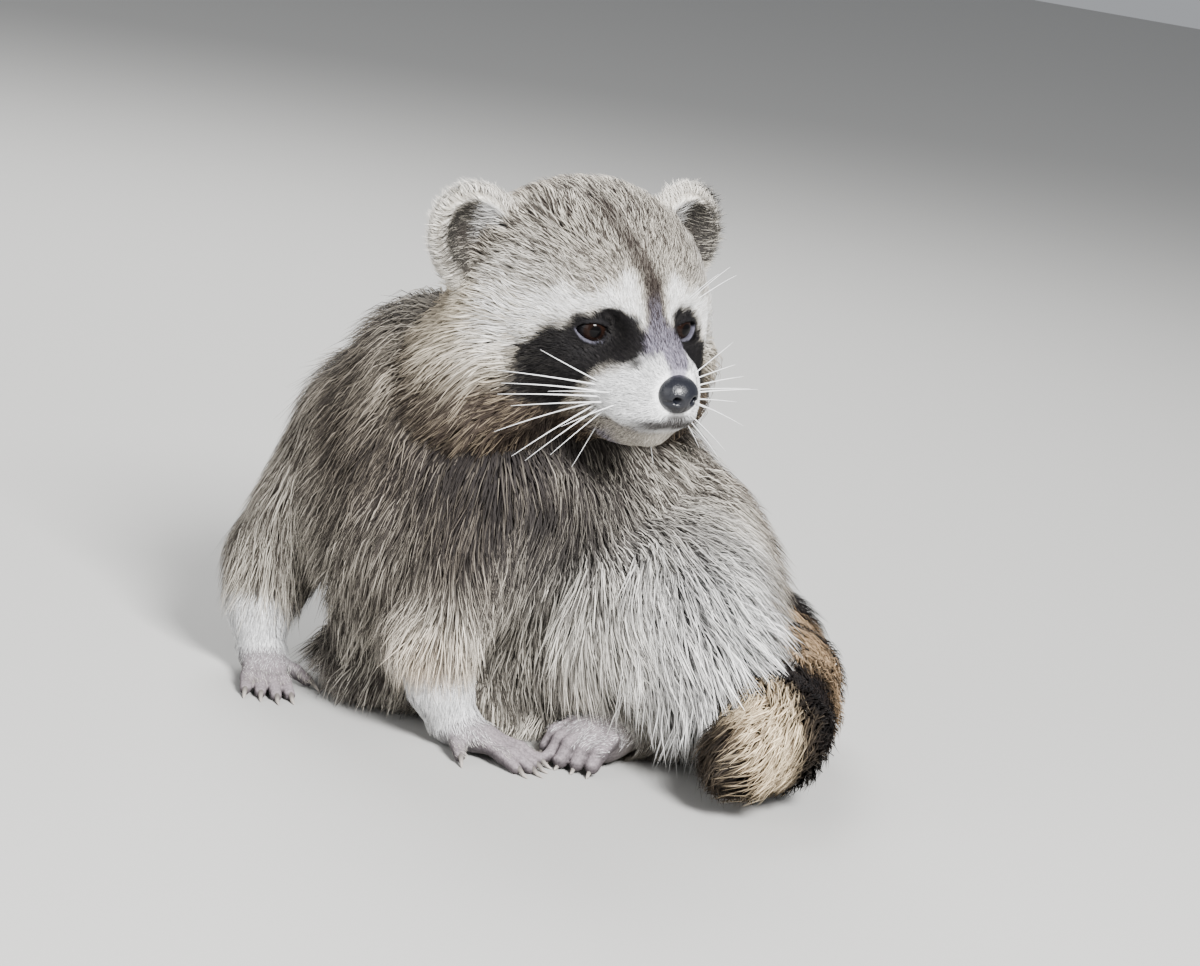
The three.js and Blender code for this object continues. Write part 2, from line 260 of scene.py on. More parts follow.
def head_outline(q):
    """The head out to the tips of its coat, in its own frame."""
    x = np.abs(q[:, 0])
    half = np.column_stack([x, q[:, 1], q[:, 2]])
    snout = joined(
        [
            rod(q, (0, 2, -16), 24, (0, -29, -18), 15),
            ball(half, (10, -22, -24), (14, 18, 12.5)),
            rod(q, (0, 16, -38), 20, (0, -20, -36), 10.5),
            rod(q, (0, 2, 0), 11, (0, -31, -11), 8),
        ],
        8,
    )
    skull = joined(
        [
            ball(q, (0, 48, 4), (58, 56, 50)),
            ball(q, (0, 16, 8), (36, 23, 26)),
            ball(half, (37, 45, -24), (36, 38, 38)),
            ball(half, (44, 42, -44), (26, 30, 22)),
            ball(q, (0, 16, -16), (40, 27, 27)),
            snout,
        ],
        14,
    )
    return soft_max(skull, -ball(half, (24, -9, 1), (11, 9, 8)), 7)


def head_depth(q):
    """Thickness of the coat on the head: thin on the muzzle, thick on the cheeks and nape."""
    x = np.abs(q[:, 0])
    back = ramp(-12, 45, q[:, 1])
    depth = mix(1.2, 7.5, back)
    cheek = ramp(26, 58, x) * ramp(6, -18, q[:, 2]) * ramp(-4, 30, q[:, 1])
    under = ramp(-34, -58, q[:, 2]) * ramp(-10, 26, q[:, 1])
    nape = ramp(55, 95, q[:, 1])
    return depth + 11 * np.maximum(cheek, under) + 8 * nape


LID = 1.5  # thickness of the eyelids over the eyeball
OPENING = (8.2, 4.3)  # half width and half height of the space between the lids
MUZZLE_FRONT = -37.8  # the muzzle ends here, behind the nose leather


def eye_axes(s):
    """Axes of an eye: it looks along -Y of its own frame, +X to the outer corner."""
    turn = rotation(pitch=-2, yaw=s * 16, roll=s * -6)
    axes = turn.copy()
    axes[:, 0] *= s
    return axes


def eye_space(q, s):
    """Points in the frame of one eye, with +X towards its outer corner and -Y ahead."""
    at = EYE_AT * (s, 1, 1)
    return (q - at) @ eye_axes(s)


def almond(e):
    """Signed distance, across the line of sight, to the almond-shaped opening of the lids."""
    half, tall = OPENING
    u = np.clip(e[:, 0] / half, -1, 1)
    upper = tall * 0.88 * (1 - u * u) ** 0.65 - 0.35
    lower = -tall * 0.95 * (1 - u * u) ** 0.75 - 0.35
    middle = (upper + lower) / 2
    reach = (upper - lower) / 2
    past = np.maximum(np.abs(e[:, 0]) - half, 0)
    return np.abs(e[:, 2] - middle) - reach + past


def head_skin(q):
    """The head under its coat: lids and lips included."""
    f = head_outline(q) + head_depth(q)
    for s in SIDES.values():
        e = eye_space(q, s)
        ball_out = np.linalg.norm(e, axis=1) - EYE_RADIUS
        f = soft_min(f, ball_out - LID, 4.5)
        opening = np.maximum(almond(e), e[:, 1] + 1.0)
        opening = np.maximum(opening, -(ball_out + 0.9))
        f = soft_max(f, -opening, 0.7)
    front = MUZZLE_FRONT + 0.25 * (q[:, 2] + 16)
    f = soft_max(f, front - q[:, 1], 3.0)
    taper = 0.845 * np.abs(q[:, 0]) - 0.534 * q[:, 1] - 29.5
    return soft_max(f, taper - 2.5 * np.maximum(q[:, 1] + 15, 0), 6.0)


def ear_space(points, side):
    """Points in the frame of one ear, with +X towards the crown and -Y out of the cup."""
    return EARS[side].inside(points) * (-SIDES[side], 1, 1)


def ear_skin(points, side):
    """One ear: a leaning shell, broad at its foot, with a deep cup and thin towards its rim."""
    e = ear_space(points, side)
    shell = soft_min(ball(e, (1, 4, -2.5), (18.5, 7.5, 21.5)), ball(e, (10, 5, -12), (15, 8, 13)), 6)
    return soft_max(shell, -ear_cup(e), 2.0)


def ear_cup(e):
    """Distance to the hollow of an ear."""
    return soft_min(ball(e, (1, -8, -0.5), (16, 16, 18)), ball(e, (6, -8, -9), (8.5, 14.5, 11)), 4)


# ---------------------------------------------------------------- trunk, legs and tail

FORELEGS = {
    "left": [
        ((-40, -22, 110), 26),
        ((-62, -46, 52), 16),
        ((-55, -50, 28), 11.5),
        ((-46, -50, 12), 9.5),
    ],
    "right": [
        ((-108, 36, 118), 28),
        ((-140, 26, 58), 17),
        ((-144, 15, 30), 11.5),
        ((-140, 11, 13), 9.5),
    ],
}
HINDLEGS = {
    "left": [((54, 6, 26), 20), ((46, -8, 18), 14), ((26, -28, 16), 12)],
    "right": [((-10, 96, 26), 20), ((-34, 94, 18), 14), ((-64, 87, 16), 12)],
}
TAIL = [
    (56, 98, 44),
    (88, 80, 38),
    (99, 38, 33),
    (98, -8, 33),
    (95, -50, 32),
    (82, -82, 27),
]
TAIL_CORE = (17, 16, 15.5, 15, 14, 9)  # radius of the tail under its coat
FLESH = ("head", "face", "neck", "trunk", "haunch_left", "haunch_right")
BODY_PITCH = 3.0  # size of a voxel
BODY_BAND = 14  # voxels each side of the outline in which the distance is known
SEAM = 0.6  # the outline grows by this much, which closes the thin cuts between the solids


class BodyField:
    """Distance to the outline of the trunk, neck and haunches, from the frame's solids."""

    def __init__(self):
        low, high = (np.array(c) / MM for c in cad_box)
        self.low = np.floor(low / BODY_PITCH).astype(int) - BODY_BAND
        self.shape = np.ceil(high / BODY_PITCH).astype(int) + BODY_BAND - self.low
        union = np.full(self.shape, BODY_BAND * BODY_PITCH, np.float32)
        for name in FLESH:
            points, triangles = node_mesh(name)
            union = np.minimum(union, self.level_set(points, triangles, 3))
        closed = union - SEAM
        grid = openvdb.FloatGrid(float(closed.max()))
        grid.copyFromArray(closed)
        points, triangles = surface_of(grid)
        points = (points + self.low) * BODY_PITCH
        self.value = self.level_set(points, triangles, BODY_BAND)
        for _ in range(2):
            self.value = blurred(self.value)

    def level_set(self, points, triangles, width):
        transform = openvdb.createLinearTransform(BODY_PITCH)
        grid = openvdb.FloatGrid.createLevelSetFromPolygons(
            points.astype(np.float32),
            triangles=triangles.astype(np.uint32),
            transform=transform,
            halfWidth=float(width),
        )
        array = np.empty(self.shape, np.float32)
        grid.copyToArray(array, ijk=tuple(int(i) for i in self.low))
        return array

    def __call__(self, points):
        g = points / BODY_PITCH - self.low
        g = np.clip(g, 0, np.array(self.shape) - 1.001)
        i = g.astype(int)
        t = g - i
        total = 0.0
        for corner in np.ndindex(2, 2, 2):
            weight = np.prod(np.where(corner, t, 1 - t), axis=1)
            j = i + corner
            total = total + weight * self.value[j[:, 0], j[:, 1], j[:, 2]]
        return total


def blurred(a):
    """One pass of a small blur along each axis."""
    for axis in range(3):
        a = (np.roll(a, 1, axis) + 2 * a + np.roll(a, -1, axis)) / 4
    return a


def node_mesh(name):
    """Points, in millimetres, and triangles of a solid of the frame."""
    mesh = frame["nodes"][name].data
    mesh.calc_loop_triangles()
    triangles = read(mesh.loop_triangles, "vertices", 3, np.int32)
    points = np.round(read(mesh.vertices, "co", 3) / MM, 3)
    points, back = np.unique(points, axis=0, return_inverse=True)
    return points, back.ravel()[triangles]


def body_depth(points):
    """Thickness of the coat on the trunk, neck and haunches: less towards the floor."""
    p = BODY.inside(points)
    depth = 21.0 + 5 * ramp(-60, 40, p[:, 0])
    return mix(depth, 9.0, ramp(34, 4, p[:, 2]))


# A paw's digits: spread, droop, curl and turn in degrees, the rest in millimetres. back, turn and
# scale are for the first digit alone.
FINGERS = {
    "spread": 14, "across": 8.5, "ahead": -22, "high": 7, "droop": 8, "curl": 10,
    "back": 12, "turn": -28, "scale": 0.75, "length": 22, "radius": 3.1,
}
TOES = {
    "spread": 10, "across": 12, "ahead": -12, "high": 14, "droop": 22, "curl": 32,
    "back": 3, "turn": -4, "scale": 0.9, "length": 17, "radius": 3.9,
}


def digit_stations(place, s, fan):
    """Knuckle, joint and tip of each of the five digits of a paw, with their radii."""
    digits = []
    for i in range(5):
        side = (i - 2) / 2
        first = i == 0
        knuckle = (
            s * side * fan["across"],
            fan["ahead"] + abs(side) * 3 + (fan["back"] if first else 0),
            fan["high"],
        )
        yaw = s * (side * fan["spread"] + (fan["turn"] if first else 0))
        length = fan["length"] * (fan["scale"] if first else 1 - 0.1 * abs(side))
        own = Place(knuckle, rotation(pitch=fan["droop"], yaw=yaw), place)
        joint = length * 0.52
        bend = math.radians(fan["curl"])
        rest = length - joint
        tip = (0, -joint - rest * math.cos(bend), -rest * math.sin(bend))
        points = [own.outside(q) for q in ((0, 3, 0), (0, -joint, 0), tip)]
        digits.append((points, fan["radius"]))
    return digits


DIGITS = {}
for side_name, side_sign in SIDES.items():
    DIGITS["forepaw_" + side_name] = digit_stations(HANDS[side_name], side_sign, FINGERS)
    DIGITS["hindfoot_" + side_name] = digit_stations(FEET[side_name], side_sign, TOES)


def paw_skin(points, name):
    """A paw with its pads and its five digits."""
    side = name.split("_")[1]
    if name.startswith("forepaw"):
        q = HANDS[side].inside(points)
        own = joined([ball(q, (0, -10, 7.5), (11, 16, 7)), ball(q, (0, 1, 9), (9, 10, 8))], 5)
    else:
        q = FEET[side].inside(points)
        own = ball(q, (0, 0, 11), (13.5, 19, 10.5))
    fingers = None
    for (a, b, c), r in DIGITS[name]:
        digit = joined(
            [rod(points, a, r, b, r * 1.04), rod(points, b, r * 1.04, c, r * 0.86)], 1.5
        )
        fingers = digit if fingers is None else np.minimum(fingers, digit)
    return soft_min(own, fingers, 3.0)


def tail_core(p):
    """The tail under its coat."""
    return limb(p, list(zip(TAIL, TAIL_CORE)), 8)


FLOOR_GAP = 0.15  # how far skin and coat stay above the floor


def skin_field(points):
    """The whole animal under its coat, as a distance in millimetres."""
    p = BODY.inside(points)
    f = soft_min(outline(points) + body_depth(points), head_skin(HEAD.inside(points)), 16)
    for side in SIDES:
        f = soft_min(f, ear_skin(points, side), 5)
    f = soft_min(f, tail_core(p), 8)
    for side in SIDES:
        for legs, paw, k in ((FORELEGS, "forepaw_", 12), (HINDLEGS, "hindfoot_", 8)):
            leg = soft_min(limb(p, legs[side], 8), paw_skin(points, paw + side), 5)
            f = soft_min(f, leg, k)
    return np.maximum(f, FLOOR_GAP - points[:, 2])


# ---------------------------------------------------------------- surface of a field


def polygonised(field, low, high, pitch):
    """Points and triangles of the surface of a field inside a box."""
    low, high = np.array(low, float), np.array(high, float)
    coarse = 4  # fine cells along a coarse one, and only those near the surface are worked out
    blocks = np.ceil((high - low) / (pitch * coarse)).astype(int) + 1
    step = pitch * coarse
    axes = [low[i] + step * np.arange(blocks[i]) for i in range(3)]
    grid = np.stack(np.meshgrid(*axes, indexing="ij"), -1).reshape(-1, 3)
    rough = field(grid).reshape(blocks)
    near = np.abs(rough) < step * 1.9
    shape = (blocks - 1) * coarse + 1
    far = 4 * pitch
    index = [np.round(np.arange(n) / coarse).astype(int) for n in shape]
    index = [np.minimum(i, b - 1) for i, b in zip(index, blocks)]
    mask = near[np.ix_(*index)]
    value = np.where(rough[np.ix_(*index)] < 0, -far, far).astype(np.float32)
    cells = np.argwhere(mask)
    value[mask] = np.clip(field(low + cells * pitch), -far, far)
    closed = np.full(np.array(value.shape) + 2, far, np.float32)
    closed[1:-1, 1:-1, 1:-1] = value
    vdb = openvdb.FloatGrid(far)
    vdb.copyFromArray(closed)
    points, triangles = surface_of(vdb)
    return low + (points - 1) * pitch, triangles.astype(np.int32)


def mesh_object(name, points, faces):
    """An object at the origin from points in millimetres and faces with one number of corners."""
    mesh = bpy.data.meshes.new(name)
    sides = faces.shape[1]
    mesh.vertices.add(len(points))
    mesh.vertices.foreach_set("co", (points * MM).astype(np.float32).ravel())
    mesh.loops.add(faces.size)
    mesh.loops.foreach_set("vertex_index", faces.astype(np.int32).ravel())
    mesh.polygons.add(len(faces))
    mesh.polygons.foreach_set("loop_start", np.arange(0, faces.size, sides, dtype=np.int32))
    mesh.update(calc_edges=True)
    return placed(name, mesh)


outline = BodyField()


# ---------------------------------------------------------------- one skin from several finenesses

# Where the skin is finer: place, middle and radii of the zone, reach of its box, and mesh size.
ZONES = [
    (HEAD, (0, -8, -14), (54, 44, 46), 56, 0.8),
    (HEAD, (0, 38, 4), (104, 72, 84), 106, 1.7),
    *((place, (0, -14, 8), (34, 42, 26), 44, 1.05) for place in HANDS.values()),
    *((place, (0, -8, 12), (32, 40, 28), 44, 1.05) for place in FEET.values()),
]
ZONE_LAP = 2.5  # how far neighbouring zones run into each other
BODY_MESH = 3.4  # mesh size of the rest of the skin
BOX_MARGIN = 3  # room round the box of the solids


def outside_of(zones, f, p):
    """What of a field lies outside some zones, apart from the lap."""
    for place, at, radii, _, _ in zones:
        f = np.maximum(f, -(ball(place.inside(p), at, radii) + ZONE_LAP))
    return f


def skin_meshes():
    """The skin as closed meshes that lap over each other, finest first."""
    low, high = (np.array(c) / MM for c in cad_box)
    low, high = low - BOX_MARGIN, high + BOX_MARGIN
    for i, (place, at, radii, reach, pitch) in enumerate(ZONES):

        def part(p, place=place, at=at, radii=radii, before=ZONES[:i]):
            return outside_of(before, np.maximum(skin_field(p), ball(place.inside(p), at, radii)), p)

        middle = place.outside(at)
        yield polygonised(part, np.maximum(middle - reach, low), np.minimum(middle + reach, high), pitch)
    yield polygonised(lambda p: outside_of(ZONES, skin_field(p), p), low, high, BODY_MESH)


def united(meshes, name):
    """One closed mesh from lapping ones; its object takes the name."""
    parts = [mesh_object(f"{name}_{i}", *m) for i, m in enumerate(meshes)]
    base = parts.pop()
    for part in parts:
        union = base.modifiers.new("union", "BOOLEAN")
        union.operation = "UNION"
        union.solver = "MANIFOLD"
        union.object = part
    graph = bpy.context.evaluated_depsgraph_get()
    mesh = bpy.data.meshes.new_from_object(base.evaluated_get(graph))
    for part in [base, *parts]:
        bpy.data.meshes.remove(part.data)
    mesh.name = name
    return placed(name, mesh)


def keep_largest(mesh):
    """Leaves only the largest connected shell of a mesh, in triangles."""
    a, b = read(mesh.edges, "vertices", 2, np.int32).T
    label = np.arange(len(mesh.vertices))
    while True:
        low = np.minimum(label[a], label[b])
        new = label.copy()
        np.minimum.at(new, a, low)
        np.minimum.at(new, b, low)
        new = new[new]
        if (new == label).all():
            break
        label = new
    names, sizes = np.unique(label, return_counts=True)
    drop = np.flatnonzero(label != names[sizes.argmax()])
    work = bmesh.new()
    work.from_mesh(mesh)
    work.verts.ensure_lookup_table()
    bmesh.ops.delete(work, geom=[work.verts[i] for i in drop], context="VERTS")
    bmesh.ops.triangulate(work, faces=work.faces)
    work.to_mesh(mesh)
    work.free()


def vertex_points(mesh):
    """Vertices of a mesh in millimetres."""
    return read(mesh.vertices, "co", 3).astype(float) / MM


def slope(field, points, step=0.4):
    """Unit outward normals of a field at points."""
    parts = []
    for axis in np.identity(3) * step:
        parts.append(field(points + axis) - field(points - axis))
    g = np.stack(parts, 1)
    return g / np.maximum(np.linalg.norm(g, axis=1, keepdims=True), 1e-9)


def paint(mesh, name, colours):
    """Stores one colour for each vertex."""
    layer = mesh.color_attributes.new(name, "FLOAT_COLOR", "POINT")
    rgba = np.ones((len(colours), 4), np.float32)
    rgba[:, :3] = colours
    layer.data.foreach_set("color", rgba.ravel())


# ---------------------------------------------------------------- lie of the coat


def unit(v):
    return v / np.maximum(np.linalg.norm(v, axis=-1, keepdims=True), 1e-9)


def wander(p, size, seed, count=5):
    """Smooth wandering values near 0, one for each point, that change over about `size`."""
    draw = np.random.default_rng(seed)
    total = np.zeros(len(p))
    for _ in range(count):
        wave = draw.normal(size=3)
        wave *= 2 * math.pi / (size * np.linalg.norm(wave)) * draw.uniform(0.6, 1.5)
        total += np.sin(p @ wave + draw.uniform(0, 2 * math.pi))
    return total / math.sqrt(count / 2)


# Which way the hair lies at places on the body, from the body's own origin.
LIE = [
    ((-26, -44, 150), (-0.10, -0.2, -1.0)),  # throat
    ((-60, -55, 95), (-0.10, -0.1, -1.0)),  # breast
    ((-112, -20, 112), (-0.45, 0.0, -0.9)),  # right shoulder
    ((-135, 8, 70), (-0.15, 0.0, -1.0)),  # right upper arm
    ((-92, -36, 150), (-0.55, 0.1, -0.8)),  # right side of the neck
    ((-10, -52, 118), (0.10, 0.0, -1.0)),  # left shoulder
    ((25, -40, 118), (0.45, 0.0, -0.85)),  # left flank
    ((45, 20, 145), (0.85, 0.3, -0.5)),  # loin
    ((78, 0, 105), (0.55, 0.2, -0.8)),  # top of the left haunch
    ((55, -55, 85), (0.40, 0.0, -0.9)),  # left haunch
    ((55, -72, 40), (0.12, 0.0, -1.0)),  # left thigh
    ((10, -58, 60), (0.12, 0.0, -1.0)),  # left knee
    ((-35, -58, 50), (0.0, -0.1, -1.0)),  # belly
    ((-102, -20, 30), (-0.2, -0.1, -1.0)),  # breast fringe
    ((0, 70, 150), (0.75, 0.5, -0.3)),  # back
    ((88, 60, 85), (0.35, 0.6, -0.8)),  # rump
    ((-60, 80, 110), (0.3, 0.5, -0.8)),  # right flank
    ((-60, 50, 180), (-0.1, 0.7, -0.6)),  # nape
    ((-40, 112, 50), (-0.4, 0.3, -0.9)),  # right haunch
]
LIE_REACH = 34.0


def body_lie(p):
    total = np.zeros((len(p), 3))
    for at, way in LIE:
        weight = np.exp(-np.sum((p - at) ** 2, 1) / (2 * LIE_REACH**2)) + 1e-6
        total += weight[:, None] * unit(np.array(way))
    return unit(total)


def head_lie(q):
    """Away from the nose, turning down on the cheeks and throat."""
    way = unit(q - (0, -50, -16))
    cheek = ramp(30, 60, np.abs(q[:, 0])) * ramp(10, -20, q[:, 2])
    throat = ramp(-34, -60, q[:, 2])
    way = way + np.outer(cheek, (0, 0.25, -0.55)) + np.outer(throat, (0, 0.2, -0.6))
    return unit(way)


def along_tail(p):
    """Nearest place on the tail's line, from 0 at its root to 1 at its tip, and the way there."""
    line = np.array(TAIL, float)
    lengths = np.linalg.norm(np.diff(line, axis=0), axis=1)
    start = np.concatenate([[0], np.cumsum(lengths)]) / lengths.sum()
    best = np.full(len(p), 1e9)
    share = np.zeros(len(p))
    way = np.zeros((len(p), 3))
    for i, (a, b) in enumerate(zip(line, line[1:])):
        t = np.clip((p - a) @ (b - a) / lengths[i] ** 2, 0, 1)
        d = np.linalg.norm(p - a - t[:, None] * (b - a), axis=1)
        near = d < best
        best = np.where(near, d, best)
        share = np.where(near, mix(start[i], start[i + 1], t), share)
        way[near] = unit(b - a)
    return share, way


# ---------------------------------------------------------------- markings

WHITE = np.array((0.84, 0.84, 0.84))
CREAM = np.array((0.66, 0.57, 0.43))
PALE = np.array((0.50, 0.46, 0.39))
BUFF = np.array((0.28, 0.205, 0.13))
TAN = np.array((0.42, 0.285, 0.165))
GREY = np.array((0.17, 0.155, 0.145))
# the lilac of a painted sheen on the dark hair of the bridge
LILAC_SHEEN = np.array((0.20, 0.185, 0.235))
BROWN = np.array((0.060, 0.038, 0.024))
DARK = np.array((0.018, 0.013, 0.011))
BLACK = np.array((0.006, 0.0055, 0.006))
PAD = np.array((0.20, 0.172, 0.182))  # bare skin of the paws


def polygon_distance(x, z, corners):
    """Signed distance to a closed outline: below 0 inside."""
    corners = np.array(corners, float)
    inside = np.zeros(len(x), bool)
    best = np.full(len(x), 1e9)
    for (ax, az), (bx, bz) in zip(corners, np.roll(corners, -1, axis=0)):
        ex, ez = bx - ax, bz - az
        t = np.clip(((x - ax) * ex + (z - az) * ez) / (ex * ex + ez * ez), 0, 1)
        best = np.minimum(best, np.hypot(x - ax - t * ex, z - az - t * ez))
        crosses = (az > z) != (bz > z)
        at = ax + (z - az) * ex / np.where(ez == 0, 1e-9, ez)
        inside ^= crosses & (x < at)
    return np.where(inside, -best, best)


# Outlines on one half of the face, as across and up from between the eyes.
MASK = [
    (7.5, 6), (11.5, 11.5), (17, 13), (25, 12), (33, 8.5), (38, 4), (43, -2), (48, -9), (54, -17),
    (60, -23), (65, -29), (64, -36), (56, -35), (48, -33), (43, -36), (36, -38),
    (30, -36), (29, -29), (27.5, -22), (25, -15), (20, -11), (14, -8.5), (9.5, -3.5),
]
BROW = [
    (6.5, 5), (10, 9), (14, 7.5), (20, 10), (27, 11), (34, 8.5), (40, 4), (46, -2), (51, -8),
    (57, -16), (64, -8), (58, 2), (51, 7), (45, 12), (38, 15.5), (31, 17.5), (24, 19),
    (18, 22), (13, 26), (9, 25),
]
MUZZLE = [
    (0, -30), (0, -21), (5, -9), (7, -3.5), (12, -5), (17, -9.5), (21, -14), (24, -19),
    (25.5, -26), (26, -33), (18, -36), (8, -34),
]


def over(base, colour, share):
    """Lays a colour over colours where share is 1."""
    return base + (np.asarray(colour) - base) * np.asarray(share)[:, None]


class Marking:
    """Tip colour, root colour and share of dark hairs, laid over each other one by one."""

    def __init__(self, count, tip, root, dark):
        self.tip = np.tile(tip, (count, 1))
        self.root = np.tile(root, (count, 1))
        self.dark = np.full(count, dark)

    def lay(self, share, tip=None, root=None, dark=None):
        """Covers what lies below, wholly where share is 1."""
        if tip is not None:
            self.tip = over(self.tip, tip, share)
        if root is not None:
            self.root = over(self.root, root, share)
        if dark is not None:
            self.dark = mix(self.dark, dark, share)


def head_marking(q):
    """Cheeks, brows, stripe of the crown, bridge, mask, muzzle, chin and lips."""
    x, y, z = np.abs(q[:, 0]), q[:, 1], q[:, 2]
    drawn = x + 0.45 * np.clip(q[:, 0] - 20, 0, 30)  # the mask is shorter on the left
    edge = 0.8 * wander(q, 9, 31)
    made = Marking(len(q), PALE * 1.15, DARK, 0.48)

    made.lay(ramp(26, 44, x) * ramp(16, -6, z), CREAM * 1.15, CREAM * 0.35, 0.10)
    bright = np.exp(-((x - 53) ** 2 + z**2) / (2 * 16.0**2)) * ramp(50, 30, y)
    made.lay(bright, WHITE)
    made.lay(bright * 0.8, root=PALE)
    # Darker under the jaw: buff fur with dark roots, darkened further as painted shade below the chin.
    lower = ramp(-20, -38, z) * ramp(-6, 16, y)
    made.lay(lower * 0.9, BUFF * 0.7)
    made.lay(lower, root=DARK * 1.5, dark=0.55)
    back = ramp(46, 78, y)
    made.lay(back * 0.6, BUFF * 1.25)
    made.lay(back, dark=0.42)

    brow = ramp(3.5, -2.2, polygon_distance(drawn, z, BROW) + edge) * ramp(26, 16, y)
    made.lay(brow, WHITE, PALE, 0.02)

    middle = -8 * ramp(22, 42, z)
    stripe = ramp(7.0, 2.5, np.abs(q[:, 0] - middle) + edge * 0.7) * ramp(2, 10, z) * ramp(52, 30, y)
    made.lay(stripe * mix(0.95, 0.6, ramp(20, 44, z)), DARK * 1.5)
    made.lay(stripe, root=DARK, dark=0.6)

    # The bridge: dark hair under a painted lilac sheen, brighter lower down.
    wide = mix(12.5, 4.0, ramp(-2, 12, z))
    bridge = ramp(1.8, -1.8, x - wide + edge * 0.6) * ramp(22, 12, z) * ramp(8, -2, y)
    shine = ramp(14, -2, z)
    made.lay(bridge, LILAC_SHEEN * mix(0.7, 1.35, shine)[:, None], DARK, mix(0.5, 0.2, shine))

    mask = ramp(1.6, -1.6, polygon_distance(drawn, z, MASK) + edge) * ramp(26, 20, y)
    made.lay(mask, BLACK * 1.6, BLACK, 0.5)
    made.lay(mask * ramp(47, 58, x), BROWN * 0.9)

    muzzle = ramp(1.6, -1.6, polygon_distance(x, z, MUZZLE) + edge * 0.8) * ramp(0, -6, y)
    side = ramp(-2, -9, z) * ramp(-22, -30, y)
    top = ramp(6.5, 4.0, x) * ramp(-14, -8, z)
    muzzle = np.maximum(muzzle, side) * (1 - 0.9 * top) * (1 - mask * ramp(-16, -10, z))
    made.lay(muzzle, WHITE, WHITE * 0.8, 0.0)

    corner = np.exp(-(((x - 32) / 11) ** 2 + ((z + 45) / 6) ** 2) / 1.2) * ramp(-10, 2, y)
    made.lay(corner * 0.9, DARK * 1.6)
    made.lay(corner, root=DARK)
    made.lay(ramp(-35, -39, z) * ramp(2, -12, y), PALE * 1.1, GREY)
    # The dark line of the mouth, widened below it as painted shade under the upper lip.
    lip = ramp(3.4, 0.6, np.abs(z - lip_height(y) + 1.0)) * ramp(-22, -34, y)
    made.lay(lip * 0.9, DARK)
    made.lay(lip, root=DARK)
    return made


def lip_height(y):
    """Height of the line of the mouth along the muzzle."""
    return np.interp(y, (-43, -39, -32, -10), (-27.5, -30.4, -32.0, -33.5))


# Marks on the trunk, neck and haunches, some of them painted shade: middle, reach, colour at the tips,
# and strength.
MARKS = [
    ((50, -55, 95), 52, WHITE * 1.05, 1.0),  # left haunch
    ((52, -72, 45), 54, WHITE * 1.08, 1.0),  # left thigh
    ((8, -56, 60), 34, PALE * 1.6, 0.8),  # left knee
    ((-40, -50, 45), 36, PALE * 1.8, 0.8),  # belly
    ((45, 0, 135), 34, PALE * 1.5, 0.6),  # flank
    ((-125, -10, 80), 28, PALE * 1.4, 0.5),  # right arm
    ((-104, -24, 128), 46, BROWN * 2.0, 0.6),  # right shoulder: brown coat, darkened further as painted shade
    ((-91, -53, 78), 19, BROWN * 1.8, 0.85),  # breast patch
    ((-55, -56, 100), 22, BROWN * 1.6, 0.6),
    ((10, -26, 130), 20, BROWN * 0.6, 0.95),  # painted shade in the fold behind the shoulder, as are the next three
    ((-6, -50, 108), 21, BROWN * 0.55, 0.95),
    ((-21, -57, 78), 16, BROWN * 0.8, 0.8),
    ((-16, -50, 136), 30, BROWN * 0.5, 0.95),
    ((-95, -36, 170), 24, CREAM, 0.6),  # beside the cheek
    ((-106, 0, 182), 22, BUFF * 0.7, 0.7),
    ((-88, -48, 140), 26, BROWN * 1.2, 0.85),
    ((-54, -58, 128), 30, BROWN * 0.55, 0.95),  # painted shade below the cheek and the chin
    ((-120, 12, 158), 30, BUFF * 0.6, 0.6),  # hump of the shoulders
    ((-59, -58, 50), 14, TAN * 1.2, 0.55),  # left elbow
    ((-104, -16, 24), 30, GREY * 1.2, 0.5),  # low fringe
]


def body_marking(p, up):
    """The trunk, neck and haunches: marks and painted shade in front, and brown with many dark hairs
    behind.
    """
    behind = up @ unit(np.array((0.45, 0.85, 0.15)))
    back = ramp(0.3, 0.8, behind + 0.12 * wander(p, 40, 5))
    made = Marking(len(p), PALE * 1.25, DARK, 0.48)
    for at, reach, colour, strength in MARKS:
        share = strength * np.exp(-np.sum((p - at) ** 2, 1) / (2 * (reach * 0.7) ** 2))
        if colour.mean() > 0.3:
            made.lay(share * (1 - back), colour, colour * 0.09, 0.16)
        else:
            made.lay(share, colour, BLACK * 2, 0.75)
    made.lay(back * 0.8, BROWN * 1.9)
    made.lay(back, dark=0.62)
    grizzle = 0.16 * wander(p, 16, 6)
    made.tip = made.tip * (1 + grizzle)[:, None]
    return made


TAIL_RINGS = [(0.07, 0.15), (0.25, 0.33), (0.43, 0.505), (0.59, 0.67), (0.86, 2.0)]  # pale ones


def tail_marking(p, ends):
    """Rings of buff and black along the tail, with a dark outer side and a dark tip below."""
    share, _ = along_tail(p)
    share = share + 0.016 * wander(p, 12, 8)
    pale = np.zeros(len(p))
    for start, stop in TAIL_RINGS:
        ring = ramp(start - 0.02, start + 0.02, share) * ramp(stop + 0.02, stop - 0.02, share)
        pale = np.maximum(pale, ring)
    outer = ramp(93, 101, p[:, 0]) * ramp(0.76, 0.84, share)
    low = ramp(97, 86, ends[:, 0] + 0.5 * ends[:, 2]) * ramp(0.85, 0.92, share)
    pale = pale * (1 - 0.95 * np.maximum(outer, low))
    end = CREAM * (1.3, 1.2, 1.05)
    made = Marking(len(p), DARK, BLACK, 0.4)
    made.lay(pale, mix(TAN * 1.4, end, ramp(0.8, 0.87, share)[:, None]), BUFF * 0.6, 0.10)
    return made


